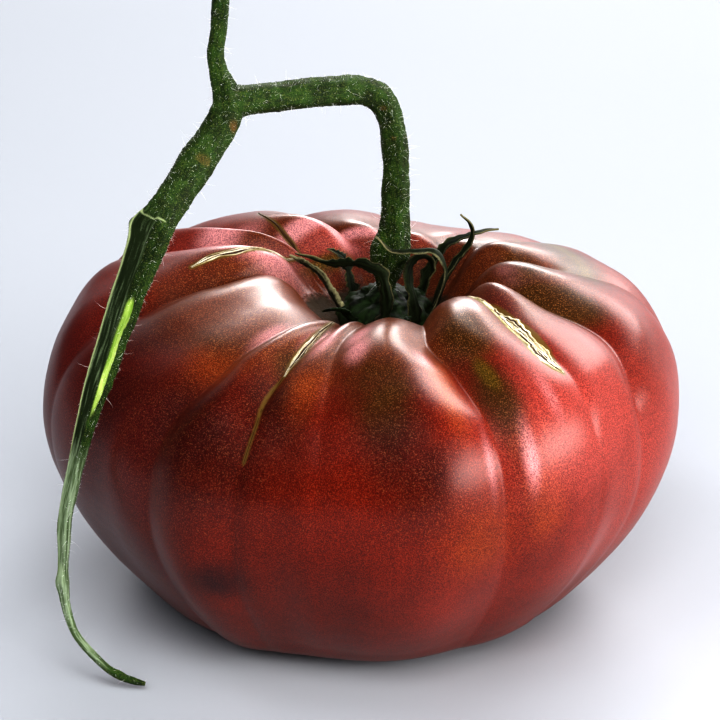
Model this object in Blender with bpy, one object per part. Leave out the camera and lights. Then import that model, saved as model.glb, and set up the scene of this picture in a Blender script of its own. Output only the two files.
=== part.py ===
"""A large ribbed beefsteak tomato, picked with its dried calyx, pedicel and a torn piece of truss stalk.

Units are metres, +Z is up, and the origin is the centre of the flat spot that the fruit rests on.
The fruit is a turned profile whose valleys run from the stem cavity over the shoulders. The mesh's
columns follow the valleys, so each crease is a line of edges.
"""
from typing import NamedTuple

import bmesh
import bpy
import numpy as np
from mathutils import Vector

MM = 0.001

# ---- driving dimensions of the fruit, in millimetres and degrees ----
# Crest profile as (radius, height): flat spot, belly, shoulder, crest, stem cavity, cavity floor.
PROFILE = [
    (18.0, 0.0), (33.6, 1.8), (41.0, 7.6), (49.0, 19.0), (53.6, 31.3), (53.1, 42.5), (47.4, 52.2),
    (37.3, 56.9), (27.0, 59.2), (20.2, 58.4), (15.6, 55.2), (13.2, 51.0), (11.2, 47.9), (7.5, 47.5),
]
LOW, EQUATOR, SHOULDER, CREST, RIM, FLOOR = 3, 5, 7, 8, 10, 12   # stations on the profile
CAVITY_CENTRE = (4.3, 4.5)       # the stem cavity sits off the fruit's axis
OVAL = (0.002, 0.003, 0.030, -0.003)     # radius gain: cos, sin, cos 2, sin 2 of the azimuth
TILT = (0.1, -0.15, 0.6, -1.1)           # shoulder height gain: the same four terms
CREASE_ROUNDING = 0.25           # radius at the bottom of a valley
FRUIT_ROWS = 38
COLUMN_DEG = 3.9                 # widest column of the fruit's mesh


class Groove(NamedTuple):
    """A valley: its azimuth and depth at rim, crest, shoulder, equator and low, and its two half widths.

    rise and swell lift the lobe that follows it, counterclockwise, at the crest and at the belly.
    """
    azimuth: tuple
    depth: tuple
    widths: tuple
    rise: float = 0.0
    swell: float = 0.0


GROOVES = [
    Groove((16, 15, 11, 5, 3), (2.0, 2.2, 1.8, 0.7, 0.3), (8, 9), 0.3, -0.4),
    Groove((40, 41, 42, 42, 42), (2.2, 2.4, 2.0, 0.9, 0.5), (7, 8), -0.8, -0.8),
    Groove((60, 60, 59, 59, 59), (2.4, 2.8, 2.4, 1.0, 0.5), (8, 7), -0.8, -1.8),
    Groove((82, 82, 81, 80, 80), (3.0, 3.4, 2.8, 1.2, 0.6), (9, 8), -0.5, -0.5),
    Groove((105, 105, 105, 104, 104), (2.0, 2.0, 1.8, 0.8, 0.4), (9, 9), 0.5, -0.8),
    Groove((138, 138, 138, 139, 139), (2.4, 2.6, 2.0, 0.8, 0.4), (4, 10)),
    Groove((148, 150, 152, 153, 153), (3.4, 3.6, 3.0, 1.2, 0.6), (9, 5), 0.0, -1.0),
    Groove((166, 180, 189, 194, 196), (3.6, 4.4, 3.4, 1.2, 0.6), (12, 9), 0.0, -1.5),
    Groove((236, 235, 233, 229, 228), (1.4, 1.6, 1.6, 1.1, 0.8), (6, 9), 0.0, 1.5),
    Groove((250, 250, 248, 247, 246), (2.2, 2.4, 2.0, 0.9, 0.4), (4, 5), 0.0, -1.0),
    Groove((262, 261, 262, 262, 262), (1.2, 1.2, 1.2, 0.5, 0.2), (7, 4), 0.0, 1.5),
    Groove((290, 292, 296, 297, 298), (2.6, 3.0, 3.2, 1.6, 0.6), (7, 10)),
    Groove((325, 323, 320, 318, 317), (2.0, 2.2, 1.8, 0.7, 0.3), (6, 7), 0.0, -1.2),
    Groove((347, 345, 342, 332, 330), (3.2, 3.8, 3.4, 1.8, 1.0), (10, 7), 0.0, -0.3),
]

# ---- driving dimensions of the calyx and stalks, in millimetres ----
DISC_PROFILE = [(7.0, 47.9), (7.7, 49.2), (6.9, 50.8), (4.6, 51.9), (2.3, 52.3)]
DISC_CENTRE = (4.5, 4.7)
DISC_SIDES = 20
SEPAL_THICKNESS = 0.7
SEPAL_STEPS = 11

# Each sepal: route points from root to tip, then the width at root, middle and tip.
SEPALS = {
    "sepal_1": ([(-3.4, 3.6, 50.6), (-5.0, 5.0, 53.0), (-7.0, 6.6, 55.9), (-9.8, 7.6, 57.6),
                 (-12.2, 8.2, 58.6)], (2.6, 1.9, 0.8)),
    "sepal_2": ([(3.4, -4.0, 50.4), (4.6, -4.0, 54.4), (3.9, -3.4, 59.6), (0.9, -1.8, 61.3),
                 (-2.2, 0.6, 60.6), (-5.8, 3.2, 59.6), (-11.0, 5.6, 60.2)], (2.4, 1.9, 0.8)),
    "sepal_3": ([(-1.4, 10.3, 51.0), (-2.2, 11.2, 54.6), (-3.0, 11.6, 57.0), (-5.7, 11.9, 58.2)],
                (2.4, 1.7, 0.9)),
    "sepal_4": ([(12.3, 1.0, 50.6), (13.6, -0.4, 54.6), (14.6, -1.4, 60.0), (12.8, -2.2, 63.8),
                 (9.0, -2.4, 64.2), (5.6, -1.6, 64.0), (2.6, -0.2, 65.8)], (2.6, 1.9, 0.8)),
    "sepal_5": ([(9.6, -1.8, 50.6), (9.2, -1.2, 54.2), (8.4, 0.6, 57.2), (9.2, 1.6, 60.2),
                 (11.2, 1.6, 61.2), (12.6, 1.6, 59.0), (11.6, 1.8, 56.8)], (2.4, 1.7, 0.8)),
    "sepal_6": ([(12.8, 5.0, 50.6), (14.6, 6.2, 54.6), (16.6, 7.4, 57.6), (18.5, 8.0, 60.0),
                 (19.5, 8.0, 63.6), (17.4, 8.0, 66.4)], (2.6, 1.5, 0.6)),
    "sepal_7": ([(10.8, 10.0, 51.0), (12.6, 11.4, 55.0), (15.2, 12.4, 58.6), (19.4, 13.2, 60.6),
                 (24.2, 13.8, 61.4)], (2.6, 2.0, 1.0)),
    "sepal_8": ([(-1.6, -0.8, 50.4), (-2.8, -1.6, 52.4), (-4.6, -2.2, 53.2), (-6.6, -2.8, 52.8)],
                (3.0, 2.6, 1.4)),
    "sepal_9": ([(6.6, -3.8, 50.4), (7.0, -5.4, 52.6), (7.4, -7.2, 53.4), (7.8, -8.8, 53.6)],
                (3.0, 2.6, 1.4)),
    "sepal_10": ([(5.0, 13.2, 51.0), (5.4, 14.6, 54.0), (6.0, 16.4, 57.0), (6.6, 19.4, 59.6)],
                 (2.6, 1.8, 0.8)),
}


class Station(NamedTuple):
    """One cross-section of a stalk: its centre, width across, thickness, and how deep its channel is."""
    at: tuple
    width: float
    thick: float
    channel: float = 0.0


PEDICEL = [
    Station((4.5, 4.8, 52.7), 3.1, 3.1),
    Station((4.5, 4.9, 55.0), 3.3, 3.3),
    Station((4.7, 5.0, 57.1), 5.0, 4.9),
    Station((5.1, 5.0, 60.6), 7.1, 6.8),
    Station((5.7, 5.0, 64.0), 5.8, 5.6),
    Station((6.1, 5.0, 70.1), 4.8, 4.8),
    Station((6.0, 4.7, 76.0), 4.6, 4.6),
    Station((5.7, 4.4, 81.5), 4.6, 4.6),
    Station((5.0, 3.8, 86.0), 4.7, 4.6),
    Station((3.2, 2.9, 89.5), 4.9, 4.7),
    Station((0.0, 1.3, 91.5), 5.0, 4.8),
    Station((-5.2, -1.5, 92.4), 4.8, 4.8),
    Station((-11.6, -4.6, 92.9), 4.8, 4.8),
    Station((-16.6, -6.9, 93.2), 4.9, 4.8),
    Station((-19.3, -8.2, 93.4), 5.1, 4.9),
]
TRUSS_STALK = [
    Station((-22.6, -6.0, 113.0), 2.8, 2.8),
    Station((-23.0, -6.5, 106.4), 2.8, 2.8),
    Station((-23.7, -7.3, 101.6), 2.8, 2.8),
    Station((-23.2, -8.0, 98.4), 3.1, 3.0),
    Station((-22.2, -8.9, 95.6), 4.2, 3.9),
    Station((-22.0, -10.2, 92.6), 5.2, 4.9),
    Station((-23.4, -12.6, 89.8), 5.6, 5.2),
    Station((-25.6, -15.6, 87.2), 5.9, 5.4),
    Station((-28.6, -20.0, 83.7), 5.9, 5.4),
    Station((-31.5, -25.0, 80.9), 5.9, 5.4),
    Station((-33.2, -27.6, 78.9), 6.3, 5.2),
    Station((-34.2, -28.4, 76.8), 6.2, 4.2, 0.5),
    Station((-35.3, -28.8, 74.1), 6.0, 3.4, 0.9),
    Station((-38.2, -29.2, 66.2), 5.7, 3.0, 0.9),
    Station((-41.0, -29.6, 57.8), 5.1, 2.8, 0.8),
    Station((-43.2, -30.2, 51.3), 4.3, 2.6, 0.7),
    Station((-45.3, -31.0, 44.3), 3.3, 2.4, 0.6),
    Station((-47.4, -32.0, 35.9), 2.6, 2.0, 0.4),
    Station((-48.8, -33.0, 29.5), 2.4, 1.7, 0.3),
    Station((-49.3, -33.8, 23.0), 2.0, 1.5, 0.2),
    Station((-49.5, -34.6, 16.9), 1.8, 1.4),
    Station((-49.0, -35.5, 12.7), 1.6, 1.3),
    Station((-47.4, -36.8, 8.7), 1.3, 1.2),
    Station((-43.9, -38.2, 4.9), 1.4, 1.2),
    Station((-41.2, -39.0, 2.8), 1.4, 1.2),
    Station((-38.1, -39.5, 1.6), 1.4, 1.1),
    Station((-36.0, -39.6, 1.1), 0.7, 0.7),
]
STALK_SIDES = 10
STEPS_PER_STATION = 2
STALK_FACE = Vector((-0.25, -1.0, 0.0))    # the torn channel opens this way


# ---- shared maths ----
def smoothstep(low, high, x):
    """0 at low, 1 at high, with no kink in between."""
    t = np.clip((np.asarray(x, float) - low) / (high - low), 0.0, 1.0)
    return t * t * (3.0 - 2.0 * t)


def smooth_curve(points, at):
    """Catmull-Rom curve through the points, read at the given positions, counted in points."""
    p = np.array(points, float)
    at = np.clip(np.asarray(at, float), 0.0, len(p) - 1 - 1e-9)
    i = np.floor(at).astype(int)
    t = (at - i)[:, None]
    ends = np.vstack([2 * p[0] - p[1], p, 2 * p[-1] - p[-2]])
    a, b, c, d = ends[i], ends[i + 1], ends[i + 2], ends[i + 3]
    cubic = (3 * b - 3 * c + d - a) * t**3 + (2 * a - 5 * b + 4 * c - d) * t**2 + (c - a) * t + 2 * b
    return 0.5 * cubic


def along(values, u):
    """Eases a groove's five values, given from rim to low, along the profile position u."""
    stations = (LOW, EQUATOR, SHOULDER, CREST, RIM)
    steps = values[::-1]
    out = np.full(np.shape(u), float(steps[0]))
    for k in range(len(stations) - 1):
        out += (steps[k + 1] - steps[k]) * smoothstep(stations[k], stations[k + 1], u)
    return out


def harmonics(terms, azimuth):
    """A smooth variation round the fruit: cos, sin, cos 2 and sin 2 terms."""
    c1, s1, c2, s2 = terms
    return (c1 * np.cos(azimuth) + s1 * np.sin(azimuth)
            + c2 * np.cos(2 * azimuth) + s2 * np.sin(2 * azimuth))


# ---- fruit ----
def fruit_columns():
    """Columns of the mesh as (groove index, share of the way to the next groove)."""
    columns = []
    for k, groove in enumerate(GROOVES):
        following = GROOVES[(k + 1) % len(GROOVES)]
        span = (following.azimuth[2] - groove.azimuth[2]) % 360
        count = max(3, int(np.ceil(span / COLUMN_DEG)))
        columns += [(k, j / count) for j in range(count)]
    return columns


def fruit_points(u, columns):
    """Points of the ribbed surface, rows by columns, in millimetres."""
    routes = np.array([np.radians(along(g.azimuth, u)) for g in GROOVES])
    spans = (np.roll(routes, -1, axis=0) - routes) % (2 * np.pi)
    azimuth = np.stack([routes[k] + share * spans[k] for k, share in columns], axis=1)

    base = smooth_curve(PROFILE, u)
    step = 0.001
    tangent = smooth_curve(PROFILE, u + step) - smooth_curve(PROFILE, u - step)
    tangent /= np.linalg.norm(tangent, axis=1, keepdims=True)
    normal_r, normal_z = tangent[:, 1:2], -tangent[:, 0:1]
    radius, height = base[:, 0:1], base[:, 1:2]

    outer = smoothstep(12.5, 7.0, u)[:, None]
    lifted = (smoothstep(25, 50, base[:, 1]) * smoothstep(12.2, 9.5, u))[:, None]
    r = radius * (1 + harmonics(OVAL, azimuth) * outer)
    z = height + harmonics(TILT, azimuth) * lifted

    arm = np.maximum(radius, 11.0)
    spread = 0.35 + 0.65 * np.minimum(arm / 35.0, 1.25)
    fade = (smoothstep(FLOOR, RIM, u) * smoothstep(0.2, LOW, u))[:, None]
    crest_share = (smoothstep(EQUATOR, CREST, u) * smoothstep(FLOOR, RIM - 0.5, u))[:, None]
    belly_share = (smoothstep(0.5, LOW, u) * smoothstep(CREST + 1, SHOULDER, u))[:, None]
    shift = np.zeros_like(azimuth)
    for k, groove in enumerate(GROOVES):
        away = (azimuth - routes[k][:, None] + np.pi) % (2 * np.pi) - np.pi
        reach = np.where(away > 0, groove.widths[0], groove.widths[1]) * spread
        distance = np.hypot(away * arm, CREASE_ROUNDING) - CREASE_ROUNDING
        depth = along(groove.depth, u)[:, None] * fade
        shift -= depth * np.clip(1 - distance / reach, 0, 1) ** 2
        share = ((azimuth - routes[k][:, None]) % (2 * np.pi)) / spans[k][:, None]
        lobe = np.sin(np.pi * np.clip(share, 0, 1)) ** 1.5
        shift += lobe * groove.swell * belly_share
        z = z + lobe * groove.rise * crest_share
    r = r + shift * normal_r
    z = z + shift * normal_z

    towards_cavity = (smoothstep(34, 13, base[:, 0]) * (u > EQUATOR))[:, None]
    x = r * np.cos(azimuth) + towards_cavity * CAVITY_CENTRE[0]
    y = r * np.sin(azimuth) + towards_cavity * CAVITY_CENTRE[1]
    return np.stack([x, y, np.maximum(z, 0.0)], axis=-1)


def build_fruit():
    """The ribbed berry: a grid of quads, closed by the flat spot and by the cavity floor."""
    u = np.linspace(0, len(PROFILE) - 1, FRUIT_ROWS)
    columns = fruit_columns()
    grid = fruit_points(u, columns) * MM
    grid[0, :, 2] = 0.0
    grid[-1, :, 2] = grid[-1, :, 2].mean()
    bm = bmesh.new()
    rings = [[bm.verts.new(p) for p in row] for row in grid]
    count = len(columns)
    for lower, upper in zip(rings, rings[1:]):
        for j in range(count):
            following = (j + 1) % count
            bm.faces.new((lower[j], lower[following], upper[following], upper[j]))
    bm.faces.new(rings[0][::-1])
    bm.faces.new(rings[-1])
    return bm


# ---- stalks, sepals and calyx disc ----
def sweep(bm, centres, faces, sections):
    """Skins closed cross-sections along a route.

    faces gives the direction each section turns to, and sections its outline as (side, face) pairs.
    """
    rings = []
    for k, centre in enumerate(centres):
        ahead = centres[min(k + 1, len(centres) - 1)]
        behind = centres[max(k - 1, 0)]
        forward = (ahead - behind).normalized()
        face = faces[k] - forward * faces[k].dot(forward)
        face.normalize()
        side = forward.cross(face)
        rings.append([bm.verts.new(centre + side * a + face * b) for a, b in sections[k]])
    count = len(rings[0])
    for lower, upper in zip(rings, rings[1:]):
        for j in range(count):
            following = (j + 1) % count
            bm.faces.new((lower[j], upper[j], upper[following], lower[following]))
    bm.faces.new(rings[0])
    bm.faces.new(rings[-1][::-1])
    bmesh.ops.recalc_face_normals(bm, faces=bm.faces[:])


def stalk_outline(width, thick, channel):
    """An oval whose face side is pressed in by the channel's depth, a share of the thickness."""
    outline = []
    for j in range(STALK_SIDES):
        angle = 2 * np.pi * (j + 0.5) / STALK_SIDES
        side, face = np.cos(angle), np.sin(angle)
        press = channel * thick * max(0.0, face) ** 2
        outline.append((side * width / 2 * MM, (face * thick / 2 - press) * MM))
    return outline


def build_stalk(stations):
    """A stalk along a smooth curve through its stations."""
    rows = [(*s.at, s.width, s.thick, s.channel) for s in stations]
    count = (len(stations) - 1) * STEPS_PER_STATION + 1
    smooth = smooth_curve(rows, np.linspace(0, len(stations) - 1, count))
    centres = [Vector(row[:3]) * MM for row in smooth]
    sections = [stalk_outline(row[3], row[4], max(row[5], 0.0)) for row in smooth]
    bm = bmesh.new()
    sweep(bm, centres, [STALK_FACE] * count, sections)
    return bm


def build_sepal(route, widths):
    """A thin pointed strap, lens-shaped in section, along its route."""
    points = smooth_curve(route, np.linspace(0, len(route) - 1, SEPAL_STEPS))
    centres = [Vector(p) * MM for p in points]
    hub = Vector((*DISC_CENTRE, points[0][2])) * MM
    outward = (centres[0] - hub).normalized()
    up = Vector((0, 0, 1))
    turn = (centres[1] - centres[0]).normalized()
    across = turn.cross(outward if abs(turn.dot(up)) > abs(turn.dot(outward)) else up).normalized()
    faces, sections = [], []
    for k, share in enumerate(np.linspace(0, 1, SEPAL_STEPS)):
        forward = (centres[min(k + 1, SEPAL_STEPS - 1)] - centres[max(k - 1, 0)]).normalized()
        across = (across - forward * across.dot(forward)).normalized()
        faces.append(forward.cross(across))
        half = np.interp(share, (0, 0.5, 1), widths) / 2 * MM
        thick = SEPAL_THICKNESS * (1 - 0.4 * share) / 2 * MM
        sections.append([(-half, 0), (-half / 2, -thick), (half / 2, -thick),
                         (half, 0), (half / 2, thick), (-half / 2, thick)])
    bm = bmesh.new()
    sweep(bm, centres, faces, sections)
    return bm


def build_disc():
    """The calyx cushion: a turned button with a small flat top under the pedicel."""
    bm = bmesh.new()
    rings = []
    for radius, height in DISC_PROFILE:
        angles = 2 * np.pi * np.arange(DISC_SIDES) / DISC_SIDES
        rings.append([bm.verts.new(Vector((DISC_CENTRE[0] + radius * np.cos(a),
                                           DISC_CENTRE[1] + radius * np.sin(a), height)) * MM)
                      for a in angles])
    for lower, upper in zip(rings, rings[1:]):
        for j in range(DISC_SIDES):
            following = (j + 1) % DISC_SIDES
            bm.faces.new((lower[j], lower[following], upper[following], upper[j]))
    bm.faces.new(rings[0][::-1])
    bm.faces.new(rings[-1])
    return bm


# ---- objects ----
def make_material(name, colour, roughness):
    """A Principled material for one sub-part."""
    material = bpy.data.materials.new(name)
    material.use_nodes = True
    shader = material.node_tree.nodes["Principled BSDF"]
    shader.inputs["Base Color"].default_value = (*colour, 1.0)
    shader.inputs["Roughness"].default_value = roughness
    shader.inputs["Metallic"].default_value = 0.0
    return material


def add_part(name, bm, colour, roughness, sharp_angle=0.9):
    """Turns a bmesh into a named object with its own material."""
    mesh = bpy.data.meshes.new(name)
    bm.to_mesh(mesh)
    bm.free()
    mesh.shade_smooth()
    mesh.set_sharp_from_angle(angle=sharp_angle)
    mesh.materials.append(make_material(name, colour, roughness))
    part = bpy.data.objects.new(name, mesh)
    bpy.context.collection.objects.link(part)
    return part


def main():
    """Builds the tomato: the fruit, then the calyx, the sepals and the stalks."""
    for old in list(bpy.data.objects):
        bpy.data.objects.remove(old)
    add_part("fruit", build_fruit(), (0.33, 0.045, 0.03), 0.32)
    add_part("calyx_disc", build_disc(), (0.05, 0.08, 0.025), 0.7)
    for name, (route, widths) in SEPALS.items():
        add_part(name, build_sepal(route, widths), (0.045, 0.06, 0.025), 0.75)
    add_part("pedicel", build_stalk(PEDICEL), (0.05, 0.13, 0.03), 0.6)
    add_part("truss_stalk", build_stalk(TRUSS_STALK), (0.06, 0.15, 0.035), 0.6)


main()
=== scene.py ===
"""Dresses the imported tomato: ribbed skin, healed growth scars, dried calyx, hairy stalks and a torn strip.

Sizes are in millimetres until a mesh is written, when they become metres. +Z is up, and the origin is
the centre of the flat spot that the fruit rests on.
"""

import logging
import math
from dataclasses import dataclass, field
from enum import Enum
from typing import Any, Sequence

import bmesh
import bpy
import numpy as np
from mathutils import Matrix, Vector


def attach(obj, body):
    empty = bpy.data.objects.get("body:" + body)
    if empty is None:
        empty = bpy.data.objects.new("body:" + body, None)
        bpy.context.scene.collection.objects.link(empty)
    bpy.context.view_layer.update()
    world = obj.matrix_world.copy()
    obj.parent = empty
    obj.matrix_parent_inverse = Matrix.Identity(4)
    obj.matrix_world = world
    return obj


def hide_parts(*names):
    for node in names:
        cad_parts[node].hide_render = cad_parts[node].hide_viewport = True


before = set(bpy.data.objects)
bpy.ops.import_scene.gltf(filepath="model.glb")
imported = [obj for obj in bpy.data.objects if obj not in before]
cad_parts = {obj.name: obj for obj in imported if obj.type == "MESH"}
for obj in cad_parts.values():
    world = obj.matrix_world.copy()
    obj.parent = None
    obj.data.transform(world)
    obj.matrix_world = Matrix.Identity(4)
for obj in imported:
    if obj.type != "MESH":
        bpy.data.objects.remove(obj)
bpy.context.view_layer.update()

MM = 0.001
BODY = "root"
FINE_STEPS = 1500        # readings along the profile when it is measured
STORED_PATTERN = 1000.0  # noise grain that keeps the scale of a pattern stored on the mesh
LOG = logging.getLogger("tomato")
Colour = tuple[float, float, float]
Array = np.ndarray


# ---------------------------------------------------------------- shared maths
def smoothstep(low: float, high: float, x: Array | float) -> Array:
    """Eases from 0 to 1 without a kink.

    Args:
        low: Where the result is 0.
        high: Where the result is 1; it may be below low.
        x: The values to ease.

    Returns:
        The eased values, of x's shape.
    """
    t = np.clip((np.asarray(x, float) - low) / (high - low), 0.0, 1.0)
    return t * t * (3.0 - 2.0 * t)


def smooth_curve(points: Sequence[Sequence[float]], at: Array) -> Array:
    """Reads a Catmull-Rom curve through points.

    Args:
        points: The points, as rows of numbers.
        at: Positions along the curve, counted in points, of any shape.

    Returns:
        The rows at those positions, with the shape of at plus one axis.
    """
    p = np.array(points, float)
    at = np.clip(np.asarray(at, float), 0.0, len(p) - 1 - 1e-9)
    i = np.floor(at).astype(int)
    t = (at - i)[..., None]
    ends = np.vstack([2 * p[0] - p[1], p, 2 * p[-1] - p[-2]])
    a, b, c, d = ends[i], ends[i + 1], ends[i + 2], ends[i + 3]
    cubic = (3 * b - 3 * c + d - a) * t**3 + (2 * a - 5 * b + 4 * c - d) * t**2 + (c - a) * t + 2 * b
    return 0.5 * cubic


def unit(vectors: Array) -> Array:
    """Scales rows of vectors to length one."""
    return vectors / np.maximum(np.linalg.norm(vectors, axis=-1, keepdims=True), 1e-12)


def even_positions(points: Sequence[Sequence[float]], spacing: float) -> Array:
    """Positions along a smooth curve that are evenly spaced in length.

    Args:
        points: The curve's points, each starting with its x, y and z.
        spacing: Distance between positions, in millimetres.

    Returns:
        Positions counted in points.
    """
    fine = np.linspace(0, len(points) - 1, 60 * len(points))
    path = smooth_curve(points, fine)[:, :3]
    length = np.concatenate([[0], np.cumsum(np.linalg.norm(np.diff(path, axis=0), axis=1))])
    count = max(4, int(round(length[-1] / spacing)) + 1)
    return np.interp(np.linspace(0, length[-1], count), length, fine)


@dataclass(frozen=True)
class Ripple:
    """Smooth seeded unevenness: a sum of waves in random directions, about -1 to 1."""

    shortest: float
    longest: float
    seed: int
    waves: int = 28

    def at(self, points: Array) -> Array:
        """Reads the ripple at points in millimetres.

        Args:
            points: An array whose last axis is x, y, z.

        Returns:
            One value for each point.
        """
        rng = np.random.default_rng(self.seed)
        total = np.zeros(points.shape[:-1])
        for _ in range(self.waves):
            direction = unit(rng.normal(size=3))
            length = math.exp(rng.uniform(math.log(self.shortest), math.log(self.longest)))
            total += np.sin(points @ direction * (2 * np.pi / length) + rng.uniform(0, 2 * np.pi))
        return total / math.sqrt(self.waves)


# ---------------------------------------------------------------- shader maths
class Value:
    """A number socket of a node tree; arithmetic on it adds Math nodes."""

    def __init__(self, graph: "Graph", socket: bpy.types.NodeSocket) -> None:
        """Wraps a socket of graph's tree."""
        self.graph = graph
        self.socket = socket

    def __add__(self, other: "Value | float") -> "Value":
        """Sum."""
        return self.graph.math("ADD", self, other)

    def __sub__(self, other: "Value | float") -> "Value":
        """Difference."""
        return self.graph.math("SUBTRACT", self, other)

    def __rsub__(self, other: float) -> "Value":
        """Difference from a number."""
        return self.graph.math("SUBTRACT", other, self)

    def __mul__(self, other: "Value | float") -> "Value":
        """Product."""
        return self.graph.math("MULTIPLY", self, other)

    def __truediv__(self, other: "Value | float") -> "Value":
        """Quotient."""
        return self.graph.math("DIVIDE", self, other)

    def __pow__(self, other: "Value | float") -> "Value":
        """Power."""
        return self.graph.math("POWER", self, other)

    __radd__ = __add__
    __rmul__ = __mul__

    def most(self, other: "Value | float") -> "Value":
        """The larger of the two."""
        return self.graph.math("MAXIMUM", self, other)

    def eased(self, low: float, high: float) -> "Value":
        """0 at low, 1 at high, eased between and held outside them."""
        node = self.graph.add(
            "ShaderNodeMapRange", {"interpolation_type": "SMOOTHSTEP"},
            {"Value": self, "From Min": low, "From Max": high, "To Min": 0.0, "To Max": 1.0})
        return Value(self.graph, node.outputs["Result"])


class Graph:
    """A node tree under construction."""

    def __init__(self, tree: bpy.types.NodeTree) -> None:
        """Empties tree and builds in it."""
        self.tree = tree
        tree.nodes.clear()

    def add(self, kind: str, settings: dict[str, Any] | None = None,
            sockets: dict[str | int, Any] | None = None) -> bpy.types.Node:
        """Adds a node.

        Args:
            kind: The node's type.
            settings: Its own properties, set first.
            sockets: Values or links of its inputs, by name or number.

        Returns:
            The node.
        """
        node = self.tree.nodes.new(kind)
        for name, value in (settings or {}).items():
            setattr(node, name, value)
        for key, value in (sockets or {}).items():
            target = node.inputs[key]
            value = value.socket if isinstance(value, Value) else value
            if isinstance(value, bpy.types.NodeSocket):
                self.tree.links.new(value, target)
            else:
                wide = isinstance(value, tuple) and len(value) == 3 and len(target.default_value) == 4
                target.default_value = (*value, 1.0) if wide else value
        return node

    def math(self, operation: str, *values: Value | float) -> Value:
        """Adds a Math node for an operation on one or two values."""
        node = self.add("ShaderNodeMath", {"operation": operation}, dict(enumerate(values)))
        return Value(self, node.outputs[0])

    def mix(self, share: Value | float, first: Any, second: Any, blend: str = "MIX") -> bpy.types.NodeSocket:
        """Mixes two colours.

        Args:
            share: How much of the second colour shows.
            first: A colour or a colour socket.
            second: A colour or a colour socket.
            blend: The Mix node's blend type.

        Returns:
            The mixed colour's socket.
        """
        node = self.add("ShaderNodeMix", {"data_type": "RGBA", "blend_type": blend, "clamp_factor": True},
                        {0: share, 6: first, 7: second})
        return node.outputs[2]

    def vector(self, operation: str, first: Any, second: Any) -> bpy.types.NodeSocket:
        """Adds a Vector Math node and returns its vector output."""
        return self.add("ShaderNodeVectorMath", {"operation": operation}, {0: first, 1: second}).outputs[0]

    def place(self) -> bpy.types.NodeSocket:
        """The surface point in the object's own coordinates."""
        return self.add("ShaderNodeTexCoord").outputs["Object"]

    def attribute(self, name: str) -> Value:
        """A number stored on the mesh."""
        return Value(self, self.add("ShaderNodeAttribute", {"attribute_name": name}).outputs["Fac"])

    def mesh_vector(self, name: str) -> bpy.types.NodeSocket:
        """A vector stored on the mesh."""
        return self.add("ShaderNodeAttribute", {"attribute_name": name}).outputs["Vector"]

    def noise(self, where: bpy.types.NodeSocket, grain: float, detail: float = 2.0,
              rough: float = 0.5, warp: float = 0.0) -> Value:
        """Noise with features about grain millimetres wide.

        Args:
            where: Coordinates in metres.
            grain: Feature size in millimetres.
            detail: Octaves.
            rough: How strong the finer octaves are.
            warp: Distortion.

        Returns:
            The noise, about 0.2 to 0.8.
        """
        node = self.add("ShaderNodeTexNoise", None, {
            "Vector": where, "Scale": 1 / (grain * MM), "Detail": detail, "Roughness": rough,
            "Distortion": warp})
        return Value(self, node.outputs[0])

    def dots(self, where: bpy.types.NodeSocket, pitch: float) -> tuple[Value, Value]:
        """Scattered dots.

        Args:
            where: Coordinates in metres.
            pitch: Spacing in millimetres.

        Returns:
            The distance from the nearest dot in pitches, and a random number for each dot.
        """
        node = self.add("ShaderNodeTexVoronoi", {"feature": "F1"},
                        {"Vector": where, "Scale": 1 / (pitch * MM)})
        split = self.add("ShaderNodeSeparateColor", None, {0: node.outputs["Color"]})
        return Value(self, node.outputs["Distance"]), Value(self, split.outputs[0])

    def bump(self, height: Value, depth: float, strength: float = 1.0,
             under: bpy.types.NodeSocket | None = None) -> bpy.types.NodeSocket:
        """Adds a Bump node.

        Args:
            height: Relief, 0 to 1.
            depth: The relief's depth in millimetres.
            strength: The Bump node's strength.
            under: The normal it is laid on.

        Returns:
            The normal's socket.
        """
        sockets = {"Height": height, "Distance": depth * MM, "Strength": strength}
        if under is not None:
            sockets["Normal"] = under
        return self.add("ShaderNodeBump", None, sockets).outputs[0]


def surface_material(name: str, **constants: float) -> tuple[Graph, bpy.types.Node, bpy.types.Material]:
    """Starts a material with one Principled shader.

    Args:
        name: The material's name.
        **constants: Values set on the shader's sockets, with _ for a space.

    Returns:
        The graph, the shader node and the material.
    """
    material = bpy.data.materials.new(name)
    material.use_nodes = True
    graph = Graph(material.node_tree)
    shader = graph.add("ShaderNodeBsdfPrincipled", None,
                       {key.replace("_", " "): value for key, value in constants.items()})
    graph.add("ShaderNodeOutputMaterial", None, {"Surface": shader.outputs[0]})
    return graph, shader, material


def finish_shader(graph: Graph, shader: bpy.types.Node, **links: Any) -> None:
    """Feeds the shader's varying sockets.

    Args:
        graph: The graph that the shader is in.
        shader: The Principled shader.
        **links: What feeds each socket, with _ for a space in its name.
    """
    for key, value in links.items():
        socket = value.socket if isinstance(value, Value) else value
        graph.tree.links.new(socket, shader.inputs[key.replace("_", " ")])


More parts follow.
